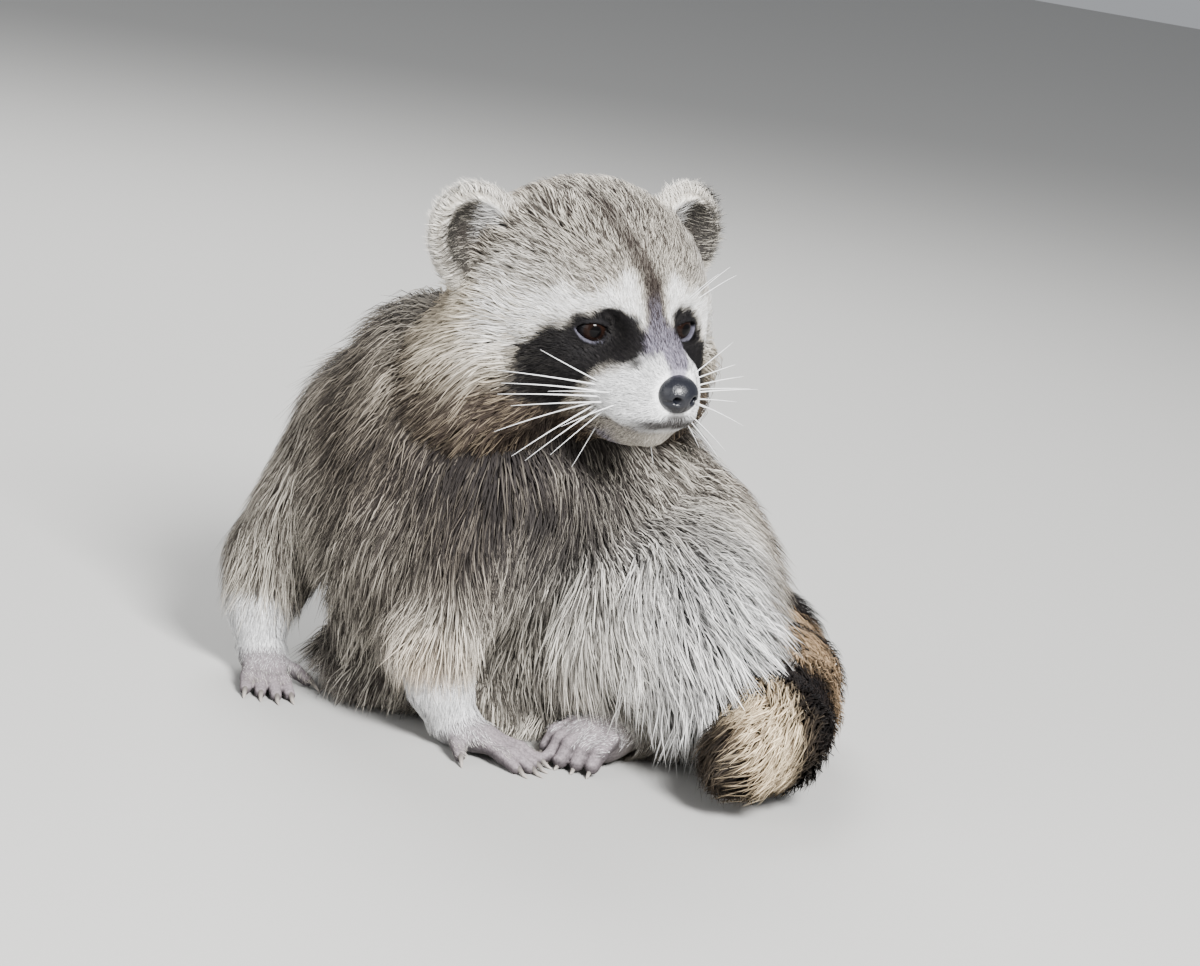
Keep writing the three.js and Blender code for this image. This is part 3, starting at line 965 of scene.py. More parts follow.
def limb_marking(p, fore):
    """White forelegs or paler hindlegs, with a tan elbow and a brown heel."""
    made = Marking(len(p), WHITE if fore else PALE, DARK, 0.08 if fore else 0.3)
    elbow = np.exp(-np.sum((p - (-64, -60, 44)) ** 2, 1) / (2 * 9.0**2))
    made.lay(elbow * 0.7, TAN * 1.3)
    if not fore:
        heel = ramp(26, 44, p[:, 0]) * ramp(16, 6, p[:, 2])
        made.lay(heel * 0.7, BROWN * 1.6)
    made.root = made.tip * 0.5
    return made


def paw_marking(p, up):
    """Grey-pink skin with pale hair on the backs of the paws, and painted shade on the skin where it
    faces down and between the digits.
    """
    made = Marking(len(p), WHITE * 0.9, PAD, 0.12)
    made.lay(ramp(12, 5, p[:, 2]), PALE, dark=0.2)
    # Painted shade: the skin darkens as it turns to face down.
    made.root = made.root * mix(1.0, 0.35, ramp(0.6, 0.0, up[:, 2]))[:, None]
    return made


def ear_inside(e):
    """1 in the cup of an ear, 0 on its rim and back."""
    return ramp(1.7, 0.4, ear_cup(e)) * ramp(13, 9, e[:, 1])


def ear_marking(e):
    """White rims, a dark grey-brown cup with a black notch, and a tan foot."""
    made = Marking(len(e), WHITE * (1.0, 0.95, 0.86), PALE, 0.04)
    foot = ramp(16, 8, np.hypot(e[:, 0] - 4, e[:, 2] + 24))
    made.lay(foot * 0.9, CREAM)
    inner = ear_inside(e)
    made.lay(inner, PALE * 0.6, BLACK, 0.85)
    drawn_over = inner * ramp(3, 10, e[:, 0] - 0.3 * e[:, 2])
    made.lay(drawn_over * 0.8, WHITE)
    made.lay(drawn_over, dark=0.25)
    tan = ramp(9, 4, np.hypot(e[:, 0] - 15, e[:, 2] + 12)) * ramp(8, 3, e[:, 1])
    made.lay(tan * 0.9, TAN)
    notch = inner * ramp(8, 4, np.hypot(e[:, 0] - 6, e[:, 2] + 12))
    made.lay(notch, BLACK)
    behind = ramp(6, 10, e[:, 1])
    made.lay(behind * 0.7, GREY)
    made.lay(behind, root=DARK)
    return made


# ---------------------------------------------------------------- survey of the skin

# The parts of the skin, in the order of every array's columns below.
TRUNK, SKULL, EAR_LEFT, EAR_RIGHT, BRUSH, FORELEG, HINDLEG, FOREPAW, HINDPAW = range(9)
PART_BLEND = np.array([5.0, 5.0, 2.0, 2.0, 4.0, 4.0, 4.0, 2.0, 2.0])  # how softly each runs out
BRUSH_COAT = (12.5, 24.0)  # depth and length of the tail's hair
TAIL_TIP = (18, 8)  # where the tip of a tuft of the tail lies, along and above its root
HINDLEG_DEPTH = 4.0
PAW_DEPTHS = (0.7, 0.9)  # on a forepaw and on a hindfoot
PAW_HAIR = 3.4  # length of the hair on the paws
EAR_HAIR = 9.5  # and on the ears


def part_distances(points):
    """Distance of each part's own surface from the points, one column for each part."""
    p, q = BODY.inside(points), HEAD.inside(points)
    columns = [outline(points) + body_depth(points), head_outline(q) + head_depth(q)]
    columns += [ear_skin(points, side) for side in SIDES]
    columns.append(tail_core(p))
    for legs in (FORELEGS, HINDLEGS):
        columns.append(np.minimum(*(limb(p, legs[side], 8) for side in SIDES)))
    for paw in ("forepaw_", "hindfoot_"):
        columns.append(np.minimum(*(paw_skin(points, paw + side) for side in SIDES)))
    return np.stack(columns, 1)


def digit_lie(points, places):
    """Ahead along the paws, stronger near them."""
    total = np.zeros((len(points), 3))
    for place in places.values():
        near = np.exp(-np.linalg.norm(place.inside(points), axis=1) / 12)
        total += near[:, None] * place.direction((0, -1, -0.25))
    return unit(total)


def coat_shape(points, up, drape):
    """Depth, length and lie of the coat of every part at points of the skin."""
    p, q = BODY.inside(points), HEAD.inside(points)
    depth = np.zeros((len(p), HINDPAW + 1))
    depth[:, TRUNK] = body_depth(points)
    depth[:, SKULL] = head_depth(q)
    depth[:, BRUSH] = BRUSH_COAT[0]
    depth[:, FORELEG] = mix(2.4, 6.0, drape)
    depth[:, HINDLEG] = HINDLEG_DEPTH
    depth[:, FOREPAW:] = PAW_DEPTHS
    lies = [body_lie(p), head_lie(q) @ HEAD.axes.T]
    for column, (side, s) in zip((EAR_LEFT, EAR_RIGHT), SIDES.items()):
        e = ear_space(points, side)
        out = unit(np.column_stack([e[:, 0] - 3, 0 * e[:, 0], e[:, 2] + 16]))
        inner = ear_inside(e)
        rim = np.sum((up @ EARS[side].axes) * (-s, 1, 1) * out, 1)
        depth[:, column] = mix(2.2, 5.4, ramp(0.45, 0.95, rim) * (1 - inner))
        way = out * (1 - inner)[:, None] + np.outer(inner, (-0.8, -0.5, 0.15))
        lies.append(unit(way * (-s, 1, 1)) @ EARS[side].axes.T)
    share, along = along_tail(p)
    along = along + np.outer(ramp(0.93, 1.0, share), (-0.5, -0.2, -0.8))
    down = np.tile((0.05, -0.1, -1.0), (len(p), 1))
    fingers, toes = digit_lie(points, HANDS), digit_lie(points, FEET)
    lies += [along, down, unit(down + 1.2 * toes), fingers, toes]

    length = 1.5 * depth + 2.0
    length[:, EAR_LEFT : EAR_RIGHT + 1] = EAR_HAIR
    length[:, BRUSH] = BRUSH_COAT[1]
    length[:, FORELEG] = mix(6.0, 32.0, drape)
    length[:, FOREPAW:] = PAW_HAIR
    return depth, length, lies


def coat_survey(points, up):
    """What the coat is like at points of the skin: depth, length, lie, colours and nearest part."""
    p, q = BODY.inside(points), HEAD.inside(points)
    gap = part_distances(points)
    weight = np.exp(-np.clip(gap - gap.min(1, keepdims=True), 0, 60) / PART_BLEND)
    weight /= weight.sum(1, keepdims=True)
    drape = ramp(34, 54, p[:, 2])  # the body's long hair falls over the tops of the forelegs
    depth, length, lies = coat_shape(points, up, drape)
    lie = sum(weight[:, [i]] * unit(way) for i, way in enumerate(lies))

    # The head and the tail take their marking from where a tuft's tip comes to lie.
    reach = (weight * length).sum(1)
    reach = np.minimum(reach * mix(0.9, 0.55, ramp(5, 12, reach)), 12.0)
    flat = unit(lie - up * np.sum(lie * up, 1, keepdims=True)) * reach[:, None]
    ends = p + TAIL_TIP[0] * lie + TAIL_TIP[1] * up
    body, fore = body_marking(p, up), limb_marking(p, True)
    fore.lay(drape, body.tip, body.root, body.dark)
    marks = [body, head_marking(q + flat @ HEAD.axes)]
    marks += [ear_marking(ear_space(points, side)) for side in SIDES]
    marks += [tail_marking(p + flat, ends), fore, limb_marking(p, False)]
    marks += [paw_marking(p, up)] * 2
    return {
        "depth": (weight * depth).sum(1),
        "length": (weight * length).sum(1),
        "lie": lie,
        "tip": sum(weight[:, [i]] * m.tip for i, m in enumerate(marks)),
        "root": sum(weight[:, [i]] * m.root for i, m in enumerate(marks)),
        "dark": sum(weight[:, i] * m.dark for i, m in enumerate(marks)),
        "part": gap.argmin(1),
    }


# ---------------------------------------------------------------- tufts


def spread(mesh, density, seed):
    """Random places on a mesh: points, normals and UV. density is per square millimetre."""
    draw = np.random.default_rng(seed)
    triangles = read(mesh.polygons, "vertices", 3, np.int32)
    points = vertex_points(mesh)
    normals = read(mesh.vertices, "normal", 3)
    uv = read(mesh.uv_layers.active.data, "uv", 2).reshape(-1, 3, 2)
    a, b, c = (points[triangles[:, i]] for i in range(3))
    area = np.linalg.norm(np.cross(b - a, c - a), axis=1) / 2
    wanted = area * density((a + b + c) / 3)
    count = np.floor(wanted + draw.random(len(wanted))).astype(int)
    face = np.repeat(np.arange(len(triangles)), count)
    u, v = draw.random(len(face)), draw.random(len(face))
    flip = u + v > 1
    u, v = np.where(flip, 1 - u, u), np.where(flip, 1 - v, v)
    share = np.stack([1 - u - v, u, v], 1)[:, :, None]
    corner = triangles[face]
    at = (points[corner] * share).sum(1)
    up = unit((normals[corner] * share).sum(1))
    return at, up, (uv[face] * share).sum(1)


LONG_TUFT = ((0.24, 0.58, 1.0), (0.60, 0.94, 0.78))  # rings: along, rise and thickness
SHORT_TUFT = ((0.42, 0.80, 1.0),)
TUFT_FOOT = (-0.04, -0.06)  # along and rise of its first point, under the skin
RING_TRIANGLES = 6  # triangles of a tuft for each of its rings
RIDGE = 0.7  # height of a ring over half its width
EDGE_TURN = 0.55  # how far the shading turns outwards at a tuft's edges
SOFTNESS = 0.6  # share of the skin's own normal in the shading of a tuft
PATCH = 0.003  # size of a tuft's patch on the unwrap
PATCH_ACROSS = (-0.4, 0.4, 0.1)  # places of a ring's corners across the patch


def tuft_faces(rings):
    """Triangles of one closed tuft: a fan from its root, tubes between rings and a fan to its tip."""
    end = 3 * len(rings) + 1
    faces = [(0, 1, 2), (0, 2, 3), (0, 3, 1)]
    for b in range(1, end - 3, 3):
        for i, j in ((0, 1), (1, 2), (2, 0)):
            faces += [(b + i, b + 3 + j, b + j), (b + i, b + 3 + i, b + 3 + j)]
    faces += [(end - 3, end, end - 2), (end - 2, end, end - 1), (end - 1, end, end - 3)]
    return np.array(faces), end + 1


def tufts(rings, root, up, way, length, depth, width, sway, uv, low, high):
    """Closed, flattened, curved tufts as points, triangles, UV, colours and shading normals.

    A tuft starts at its root under the skin, rises by depth, bends over along `way`, and is
    widest at its first ring. `sway` moves its tip sideways. Its colour runs from low to high.
    """
    side = unit(np.cross(way, up))
    spine = []
    for along, rise in (TUFT_FOOT, *(ring[:2] for ring in rings), (1.0, 1.0)):
        ahead = way * (along * length)[:, None]
        spine.append(root + ahead + up * (rise * depth)[:, None] + sway * max(along, 0) ** 2)
    spine = np.stack(spine, 1)
    spine[:, :, 2] = np.maximum(spine[:, :, 2], FLOOR_GAP)
    points, shades, place = [spine[:, 0]], [up], [0.0]
    for ring, (along, _, thick) in enumerate(rings, 1):
        axis = unit(spine[:, ring + 1] - spine[:, ring - 1])
        ridge = unit(np.cross(side, axis))
        ridge *= np.sign(np.sum(ridge * up, 1, keepdims=True) + 1e-9)
        w = (width * thick / 2)[:, None]
        middle = spine[:, ring]
        points += [middle - side * w, middle + side * w, middle + ridge * w * RIDGE]
        shades += [ridge - side * EDGE_TURN, ridge + side * EDGE_TURN, ridge]
        place += [along] * 3
    points.append(spine[:, -1])
    shades.append(up + 0.4 * way)
    place = np.array([*place, 1.0])
    points = np.stack(points, 1)
    points[:, :, 2] = np.maximum(points[:, :, 2], FLOOR_GAP)
    shades = np.stack([unit(unit(n) * (1 - SOFTNESS) + up * SOFTNESS) for n in shades], 1)
    one, count = tuft_faces(rings)
    faces = one[None] + count * np.arange(len(root))[:, None, None]
    across = np.array([0.0, *(PATCH_ACROSS * len(rings)), 0.0]) * PATCH
    patches = uv[:, None, :] + np.stack([across, (place - 0.5) * PATCH], 1)
    colours = low[:, None] + (high - low)[:, None] * ramp(0.05, 0.75, place)[None, :, None]
    return {
        "points": points.reshape(-1, 3),
        "faces": faces.reshape(-1, 3),
        "uv": patches.reshape(-1, 2),
        "colours": colours.reshape(-1, 3),
        "normals": shades.reshape(-1, 3),
    }


def tuft_colours(survey, draw):
    """Colours at the root and at the tip of each tuft."""
    n = len(survey["tip"])
    is_dark = draw.random(n) < survey["dark"]
    # Each tuft's random brightness, times the painted light and shade of its lock.
    bright = draw.normal(1.0, 0.26, n).clip(0.45, 1.5) * survey["tone"]
    dusk = survey["root"] * 1.1 + survey["tip"] * 0.10
    high = np.where(is_dark[:, None], dusk, survey["tip"] * bright[:, None])
    # The root end is darker still: the dark underfur, and painted shade deep in the coat between the
    # tufts.
    return survey["root"] * 0.75, high


def gathered(root, tips, cell, pull, seed):
    """Sideways moves that draw neighbouring tips into locks, and how far off the middle each is."""
    warped = root + np.stack([wander(root, cell * 2.2, seed + i) for i in range(3)], 1) * cell * 0.3
    key = np.floor(warped / cell).astype(int)
    _, lock = np.unique(key, axis=0, return_inverse=True)
    lock = lock.ravel()
    count = np.bincount(lock)
    middle = np.stack([np.bincount(lock, tips[:, i]) / count for i in range(3)], 1)
    away = middle[lock] - tips
    return away * pull, np.linalg.norm(away, axis=1)


def coat_piece(name, tuft, material):
    """A piece of coat from tufts' arrays, with its unwrap and shading normals."""
    made = mesh_object(name, tuft["points"], tuft["faces"])
    mesh = made.data
    within_limit(mesh)
    layer = mesh.uv_layers.new(name="OFBake")
    layer.data.foreach_set("uv", tuft["uv"][tuft["faces"].ravel()].astype(np.float32).ravel())
    paint(mesh, "marking", tuft["colours"])
    smooth(mesh)
    mesh.normals_split_custom_set_from_vertices(tuft["normals"].astype(np.float32))
    mesh.materials.append(material)
    return made


# ---------------------------------------------------------------- shader groups and materials


def group_tree(name, inputs, outputs):
    """A node group with named sockets: (name, type, default)."""
    tree = bpy.data.node_groups.new(name, "ShaderNodeTree")
    for label, kind, default in inputs:
        socket = tree.interface.new_socket(label, in_out="INPUT", socket_type=kind)
        socket.default_value = default
    for label, kind in outputs:
        tree.interface.new_socket(label, in_out="OUTPUT", socket_type=kind)
    return tree, tree.nodes.new("NodeGroupInput"), tree.nodes.new("NodeGroupOutput")


def dial(node, sockets):
    """Sets inputs of a node by their names or places."""
    for label, value in sockets.items():
        node.inputs[label].default_value = value


def add(tree, kind, sockets=None, **settings):
    """A new node with its settings and the values of its inputs."""
    node = tree.nodes.new(kind)
    for key, value in settings.items():
        setattr(node, key, value)
    dial(node, sockets or {})
    return node


def wire(tree, *links):
    """Joins nodes: each link is a node, its output, another node and its input."""
    for source, out, target, into in links:
        tree.links.new(source.outputs[out], target.inputs[into])


def mottle_group():
    """Lightens and darkens a colour with fine noise on Object coordinates."""
    inputs = [
        ("Colour", "NodeSocketColor", (0.5, 0.5, 0.5, 1)),
        ("Scale", "NodeSocketFloat", 400.0),
        ("Amount", "NodeSocketFloat", 0.3),
    ]
    outputs = [("Colour", "NodeSocketColor"), ("Height", "NodeSocketFloat")]
    tree, given, result = group_tree("Mottle", inputs, outputs)
    place = add(tree, "ShaderNodeTexCoord")
    noise = add(tree, "ShaderNodeTexNoise", {"Detail": 3.0, "Roughness": 0.6})
    spread_out = add(tree, "ShaderNodeMapRange", {"From Min": 0.3, "From Max": 0.7})
    low = add(tree, "ShaderNodeMath", {0: 1.0}, operation="SUBTRACT")
    high = add(tree, "ShaderNodeMath", {0: 1.0}, operation="ADD")
    scaled = add(tree, "ShaderNodeVectorMath", operation="SCALE")
    wire(
        tree,
        (place, "Object", noise, "Vector"),
        (given, "Scale", noise, "Scale"),
        (given, "Amount", low, 1),
        (given, "Amount", high, 1),
        (noise, "Fac", spread_out, "Value"),
        (low, 0, spread_out, "To Min"),
        (high, 0, spread_out, "To Max"),
        (given, "Colour", scaled, 0),
        (spread_out, "Result", scaled, "Scale"),
        (scaled, 0, result, "Colour"),
        (noise, "Fac", result, "Height"),
    )
    return tree


def bump_group():
    """Fine pebbled or hairy relief, as a normal."""
    inputs = [
        ("Scale", "NodeSocketFloat", 900.0),
        ("Strength", "NodeSocketFloat", 0.3),
        ("Depth", "NodeSocketFloat", 0.0003),
    ]
    tree, given, result = group_tree("Pebbles", inputs, [("Normal", "NodeSocketVector")])
    place = add(tree, "ShaderNodeTexCoord")
    cells = add(tree, "ShaderNodeTexVoronoi")
    bump = add(tree, "ShaderNodeBump")
    wire(
        tree,
        (place, "Object", cells, "Vector"),
        (given, "Scale", cells, "Scale"),
        (given, "Strength", bump, "Strength"),
        (given, "Depth", bump, "Distance"),
        (cells, "Distance", bump, "Height"),
        (bump, "Normal", result, "Normal"),
    )
    return tree


def new_material(name):
    """A material with its node tree and its shader."""
    made = bpy.data.materials.new(name)
    made.use_nodes = True
    return made, made.node_tree, made.node_tree.nodes["Principled BSDF"]


def marked_material(name, mottle, scale, amount, roughness):
    """A surface that takes its colour from the marking stored on its points."""
    made, tree, shader = new_material(name)
    marking = add(tree, "ShaderNodeAttribute", attribute_name="marking")
    tone = add(tree, "ShaderNodeGroup", node_tree=mottle)
    dial(tone, {"Scale": scale, "Amount": amount})
    wire(tree, (marking, "Color", tone, "Colour"), (tone, "Colour", shader, "Base Color"))
    dial(shader, {"Roughness": roughness, "Specular IOR Level": 0.08})
    return made, tree, shader


def add_relief(tree, shader, pebbles, scale, strength):
    """Roughens a surface with the pebbled relief."""
    relief = add(tree, "ShaderNodeGroup", node_tree=pebbles)
    dial(relief, {"Scale": scale, "Strength": strength})
    wire(tree, (relief, "Normal", shader, "Normal"))


def make_materials():
    """Every finish of the animal, by name."""
    mottle, pebbles = mottle_group(), bump_group()
    made = {}
    made["coat"], _, _ = marked_material("Coat hair", mottle, 260.0, 0.16, 0.7)

    made["skin"], tree, shader = marked_material("Short coat and skin", mottle, 900.0, 0.35, 0.7)
    add_relief(tree, shader, pebbles, 1300.0, 0.5)

    made["nose"], tree, shader = new_material("Nose leather")
    dial(shader, {"Base Color": (0.005, 0.0055, 0.009, 1), "Roughness": 0.34})
    dial(shader, {"Specular IOR Level": 0.35, "Coat Weight": 0.3, "Coat Roughness": 0.22})
    add_relief(tree, shader, pebbles, 1700.0, 0.45)

    made["eye"], _, shader = marked_material("Eye", mottle, 700.0, 0.25, 0.12)
    dial(shader, {"Specular IOR Level": 0.05, "Coat Weight": 0.09, "Coat Roughness": 0.03})

    made["claw"], _, _ = marked_material("Claw horn", mottle, 500.0, 0.2, 0.38)
    made["whisker"], _, _ = marked_material("Whisker", mottle, 300.0, 0.05, 0.4)
    return made


# ---------------------------------------------------------------- strands by Geometry Nodes


def strand_tree(material):
    """Turns polylines with a thickness at each point into tapered solid strands."""
    tree = bpy.data.node_groups.new("Tapered strands", "GeometryNodeTree")
    face = tree.interface
    face.new_socket("Lines", in_out="INPUT", socket_type="NodeSocketGeometry")
    sides = face.new_socket("Sides", in_out="INPUT", socket_type="NodeSocketInt")
    sides.default_value = 6
    scale = face.new_socket("Thickness", in_out="INPUT", socket_type="NodeSocketFloat")
    scale.default_value = 1.0
    face.new_socket("Strands", in_out="OUTPUT", socket_type="NodeSocketGeometry")
    given, result = tree.nodes.new("NodeGroupInput"), tree.nodes.new("NodeGroupOutput")
    to_curve = add(tree, "GeometryNodeMeshToCurve")
    thickness = add(
        tree, "GeometryNodeInputNamedAttribute", {"Name": "thickness"}, data_type="FLOAT"
    )
    times = add(tree, "ShaderNodeMath", operation="MULTIPLY")
    radius = add(tree, "GeometryNodeSetCurveRadius")
    ring = add(tree, "GeometryNodeCurvePrimitiveCircle", {"Radius": 1.0}, mode="RADIUS")
    solid = add(tree, "GeometryNodeCurveToMesh", {"Fill Caps": True})
    real = add(tree, "GeometryNodeRealizeInstances")
    finish = add(tree, "GeometryNodeSetMaterial", {"Material": material})
    shaded = add(tree, "GeometryNodeSetShadeSmooth")
    wire(
        tree,
        (given, "Lines", to_curve, 0),
        (to_curve, 0, radius, "Curve"),
        (thickness, "Attribute", times, 0),
        (given, "Thickness", times, 1),
        (times, 0, radius, "Radius"),
        (radius, 0, solid, "Curve"),
        (given, "Sides", ring, "Resolution"),
        (ring, 0, solid, "Profile Curve"),
        (solid, 0, shaded, 0),
        (shaded, 0, real, 0),
        (real, 0, finish, "Geometry"),
        (finish, 0, result, "Strands"),
    )
    if "Scale" in solid.inputs:
        wire(tree, (times, 0, solid, "Scale"))
    return tree


def strands(name, lines, material, sides):
    """Solid strands from lines: each is (points in millimetres, radii, colours)."""
    points, radii, colours = (np.concatenate(column) for column in zip(*lines))
    edges, start = [], 0
    for line in lines:
        edges += [(start + i, start + i + 1) for i in range(len(line[0]) - 1)]
        start += len(line[0])
    mesh = bpy.data.meshes.new(name + "_lines")
    mesh.from_pydata((points * MM).tolist(), edges, [])
    mesh.attributes.new("thickness", "FLOAT", "POINT").data.foreach_set("value", radii * MM)
    paint(mesh, "marking", colours)
    carrier = placed(name + "_lines", mesh)
    tree = strand_tree(material)
    modifier = carrier.modifiers.new("strands", "NODES")
    modifier.node_group = tree
    for item in tree.interface.items_tree:
        if item.name == "Sides" and item.in_out == "INPUT":
            modifier[item.identifier] = sides
    graph = bpy.context.evaluated_depsgraph_get()
    made = bpy.data.meshes.new_from_object(carrier.evaluated_get(graph))
    made.name = name
    if not len(made.polygons):
        raise RuntimeError(f"{name} came out empty")
    bpy.data.meshes.remove(mesh)
    return placed(name, made)


# ---------------------------------------------------------------- add-on


class RaccoonBody(bpy.types.PropertyGroup):
    """Sizes and colours of the animal's bare parts."""

    pupil: bpy.props.FloatProperty(
        name="Pupil", description="Radius of the pupil", default=0.0026, unit="LENGTH"
    )
    iris: bpy.props.FloatVectorProperty(
        name="Iris", description="Colour of the iris", default=(0.009, 0.0045, 0.0032), subtype="COLOR"
    )
    whisker_width: bpy.props.FloatProperty(
        name="Whisker width", description="Thickness of a whisker's root", default=0.0008, unit="LENGTH"
    )
    claw_length: bpy.props.FloatProperty(
        name="Claw length", description="Length of a front claw", default=0.0075, unit="LENGTH"
    )


class RaccoonCoat(bpy.types.PropertyGroup):
    """Density and coarseness of the coat."""

    body_density: bpy.props.FloatProperty(
        name="Body density", description="Tufts on each square millimetre of the body", default=1.05
    )
    head_density: bpy.props.FloatProperty(
        name="Head density", description="Tufts on each square millimetre of the head", default=1.15
    )
    width: bpy.props.FloatProperty(
        name="Tuft width", description="Width of a long tuft", default=0.00068, unit="LENGTH"
    )
    seed: bpy.props.IntProperty(name="Seed", description="Seed of the coat's chance", default=7)


class RaccoonStage(bpy.types.PropertyGroup):
    """Camera and light."""

    lens: bpy.props.FloatProperty(
        name="Lens", description="Focal length of the camera", default=110.0, unit="CAMERA"
    )
    light: bpy.props.FloatProperty(
        name="Light", description="Power of the main soft light", default=210.0, unit="POWER"
    )
    floor: bpy.props.FloatVectorProperty(
        name="Floor", description="Colour of the floor", default=(0.41, 0.405, 0.39), subtype="COLOR"
    )


MATERIALS = {}


def finished(piece, slot, *nodes):
    """Sets a piece in the frame: its body and the solids it stands for; slot is not used."""
    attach(piece, "root")
    if nodes:
        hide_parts(*nodes)


class RACCOON_OT_skin(bpy.types.Operator):
    """Build the one skin under the coat"""

    bl_idname = "raccoon.skin"
    bl_label = "Skin"

    def execute(self, context):
        skin = united(list(skin_meshes()), "skin")
        mesh = skin.data
        keep_largest(mesh)
        unwrap(skin)
        smooth(mesh)
        points = vertex_points(mesh)
        up = slope(skin_field, points)
        survey = coat_survey(points, up)
        short = ramp(5.0, 1.5, survey["depth"])[:, None]
        paw = (survey["part"] >= FOREPAW)[:, None]
        bare = np.where(paw, survey["root"], survey["tip"] * 0.8 + survey["root"] * 0.2)
        colours = bare_skin(points, mix(survey["root"], bare, short))
        paint(mesh, "marking", colours)
        mesh.materials.clear()
        mesh.materials.append(MATERIALS["skin"])
        within_limit(mesh)
        nodes = [n for n in frame["nodes"] if not n.startswith(("eye_", "nose"))]
        finished(skin, "coat", *nodes)
        return {"FINISHED"}


LID_RIM_HIGHLIGHT = np.array((0.10, 0.097, 0.125))  # a painted highlight along the wet edge of the lower lid


def bare_skin(points, colours):
    """Lids and the rims of the eyes, which have no coat."""
    q = HEAD.inside(points)
    for s in SIDES.values():
        e = eye_space(q, s)
        near = np.linalg.norm(e, axis=1)
        opening = almond(e)
        ahead = e[:, 1] < 0
        lid = ramp(14.5, 12.0, near) * ahead
        colours = over(colours, BLACK, lid)
        rim = ramp(0.9, 0.3, np.abs(opening - 0.5)) * ramp(10.6, 9.6, near) * ahead
        # Painted highlight along the wet edge of the lower lid.
        pale = rim * ramp(0.3, -1.2, e[:, 2])
        colours = over(colours, LID_RIM_HIGHLIGHT, pale * 0.7)
    return colours


def unwrap(made):
    """An unwrap of the whole skin, which the tufts' patches use as well."""
    bpy.context.view_layer.objects.active = made
    for other in bpy.context.view_layer.objects:
        other.select_set(other == made)
    bpy.ops.object.mode_set(mode="EDIT")
    bpy.ops.mesh.select_all(action="SELECT")
    bpy.ops.uv.smart_project(angle_limit=math.radians(66), island_margin=0.001)
    bpy.ops.object.mode_set(mode="OBJECT")
    made.data.uv_layers.active.name = "OFBake"


EYE_RINGS, EYE_SPOKES = 40, 48
CORNEA = 0.35  # how far the front of an eyeball bulges


def eyeball():
    """Points and faces of an eyeball that looks along -Y, and its points' angles off and about -Y."""
    polar = np.linspace(0, math.pi, EYE_RINGS + 1)[1:-1]
    turn = np.linspace(0, 2 * math.pi, EYE_SPOKES, endpoint=False)
    a, b = (grid.ravel() for grid in np.meshgrid(polar, turn, indexing="ij"))
    radius = EYE_RADIUS + CORNEA * ramp(0.75, 0.35, a) - 0.05
    points = np.column_stack([np.sin(a) * np.cos(b), -np.cos(a), np.sin(a) * np.sin(b)])
    poles = [(0, -EYE_RADIUS - 0.3, 0), (0, EYE_RADIUS - 0.05, 0)]
    points = np.concatenate([points * radius[:, None], poles])
    front = len(a)
    last_ring = front - EYE_SPOKES
    following = [(j + 1) % EYE_SPOKES for j in range(EYE_SPOKES)]
    faces = []
    for start in range(0, last_ring, EYE_SPOKES):
        for j, k in enumerate(following):
            near, beside = start + j, start + k
            below = beside + EYE_SPOKES
            faces += [(near, near + EYE_SPOKES, below), (near, below, beside)]
    for j, k in enumerate(following):
        faces += [(front, j, k), (front + 1, last_ring + k, last_ring + j)]
    return points, np.array(faces), np.append(a, (0, math.pi)), np.append(b, (0, 0))


class RACCOON_OT_eyes(bpy.types.Operator):
    """Build the two eyes"""

    bl_idname = "raccoon.eyes"
    bl_label = "Eyes"

    def execute(self, context):
        body = context.scene.raccoon_body
        pupil = body.pupil / MM / EYE_RADIUS
        points, faces, angle, turn = eyeball()
        streak = 0.25 * np.sin(turn * 23) * ramp(pupil, 0.6, angle)
        colours = np.array(body.iris[:]) * (1 + streak)[:, None]
        colours = over(colours, BLACK * 0.3, ramp(pupil + 0.05, pupil - 0.05, angle))
        colours = over(colours, BLACK, ramp(0.62, 0.80, angle))
        for side, s in SIDES.items():
            q = points @ eye_axes(s).T + EYE_AT * (s, 1, 1)
            own = faces if s > 0 else faces[:, ::-1]
            made = mesh_object(f"eyeball_{side}", HEAD.outside(q), own)
            paint(made.data, "marking", colours)
            smooth(made.data)
            made.data.materials.append(MATERIALS["eye"])
            finished(made, "eye", "eye_" + side)
        return {"FINISHED"}


NOSE_SIZE = np.array((9.8, 8.6, 9.2))
NOSE_PAD = NOSE_AT + (0, -0.6, -2.4)  # middle of the nose leather
NOSE_TURN = rotation(pitch=12)
NOSE_REACH = 11  # half the size of the box round it
NOSE_MESH = 0.32  # its mesh size


def nose_space(q):
    """Points of the head in the frame of the nose leather."""
    return (q - NOSE_PAD) @ NOSE_TURN


def nose_field(points):
    """The nose leather with its nostrils and the groove between them."""
    n = nose_space(HEAD.inside(points))
    x = np.abs(n[:, 0])
    half = np.column_stack([x, n[:, 1], n[:, 2]])
    f = ball(n, (0, 0, 0), NOSE_SIZE - (0.3, 0.2, 0.3))
    f = soft_max(f, ball(n, (0, 1, -1.5), (11, 10, 9.2)), 2)
    nostril = rod(half, (3.6, -9.5, -0.6), 1.9, (4.4, -4.0, 0.4), 1.3)
    slit = rod(half, (4.6, -8.0, -0.8), 0.9, (8.6, -3.6, -2.2), 0.6)
    f = soft_max(f, -nostril, 1.2)
    f = soft_max(f, -slit, 0.8)
    groove = rod(n, (0, -9.2, -2.0), 0.55, (0, -5.0, -9.0), 0.7)
    return soft_max(f, -groove, 0.8)


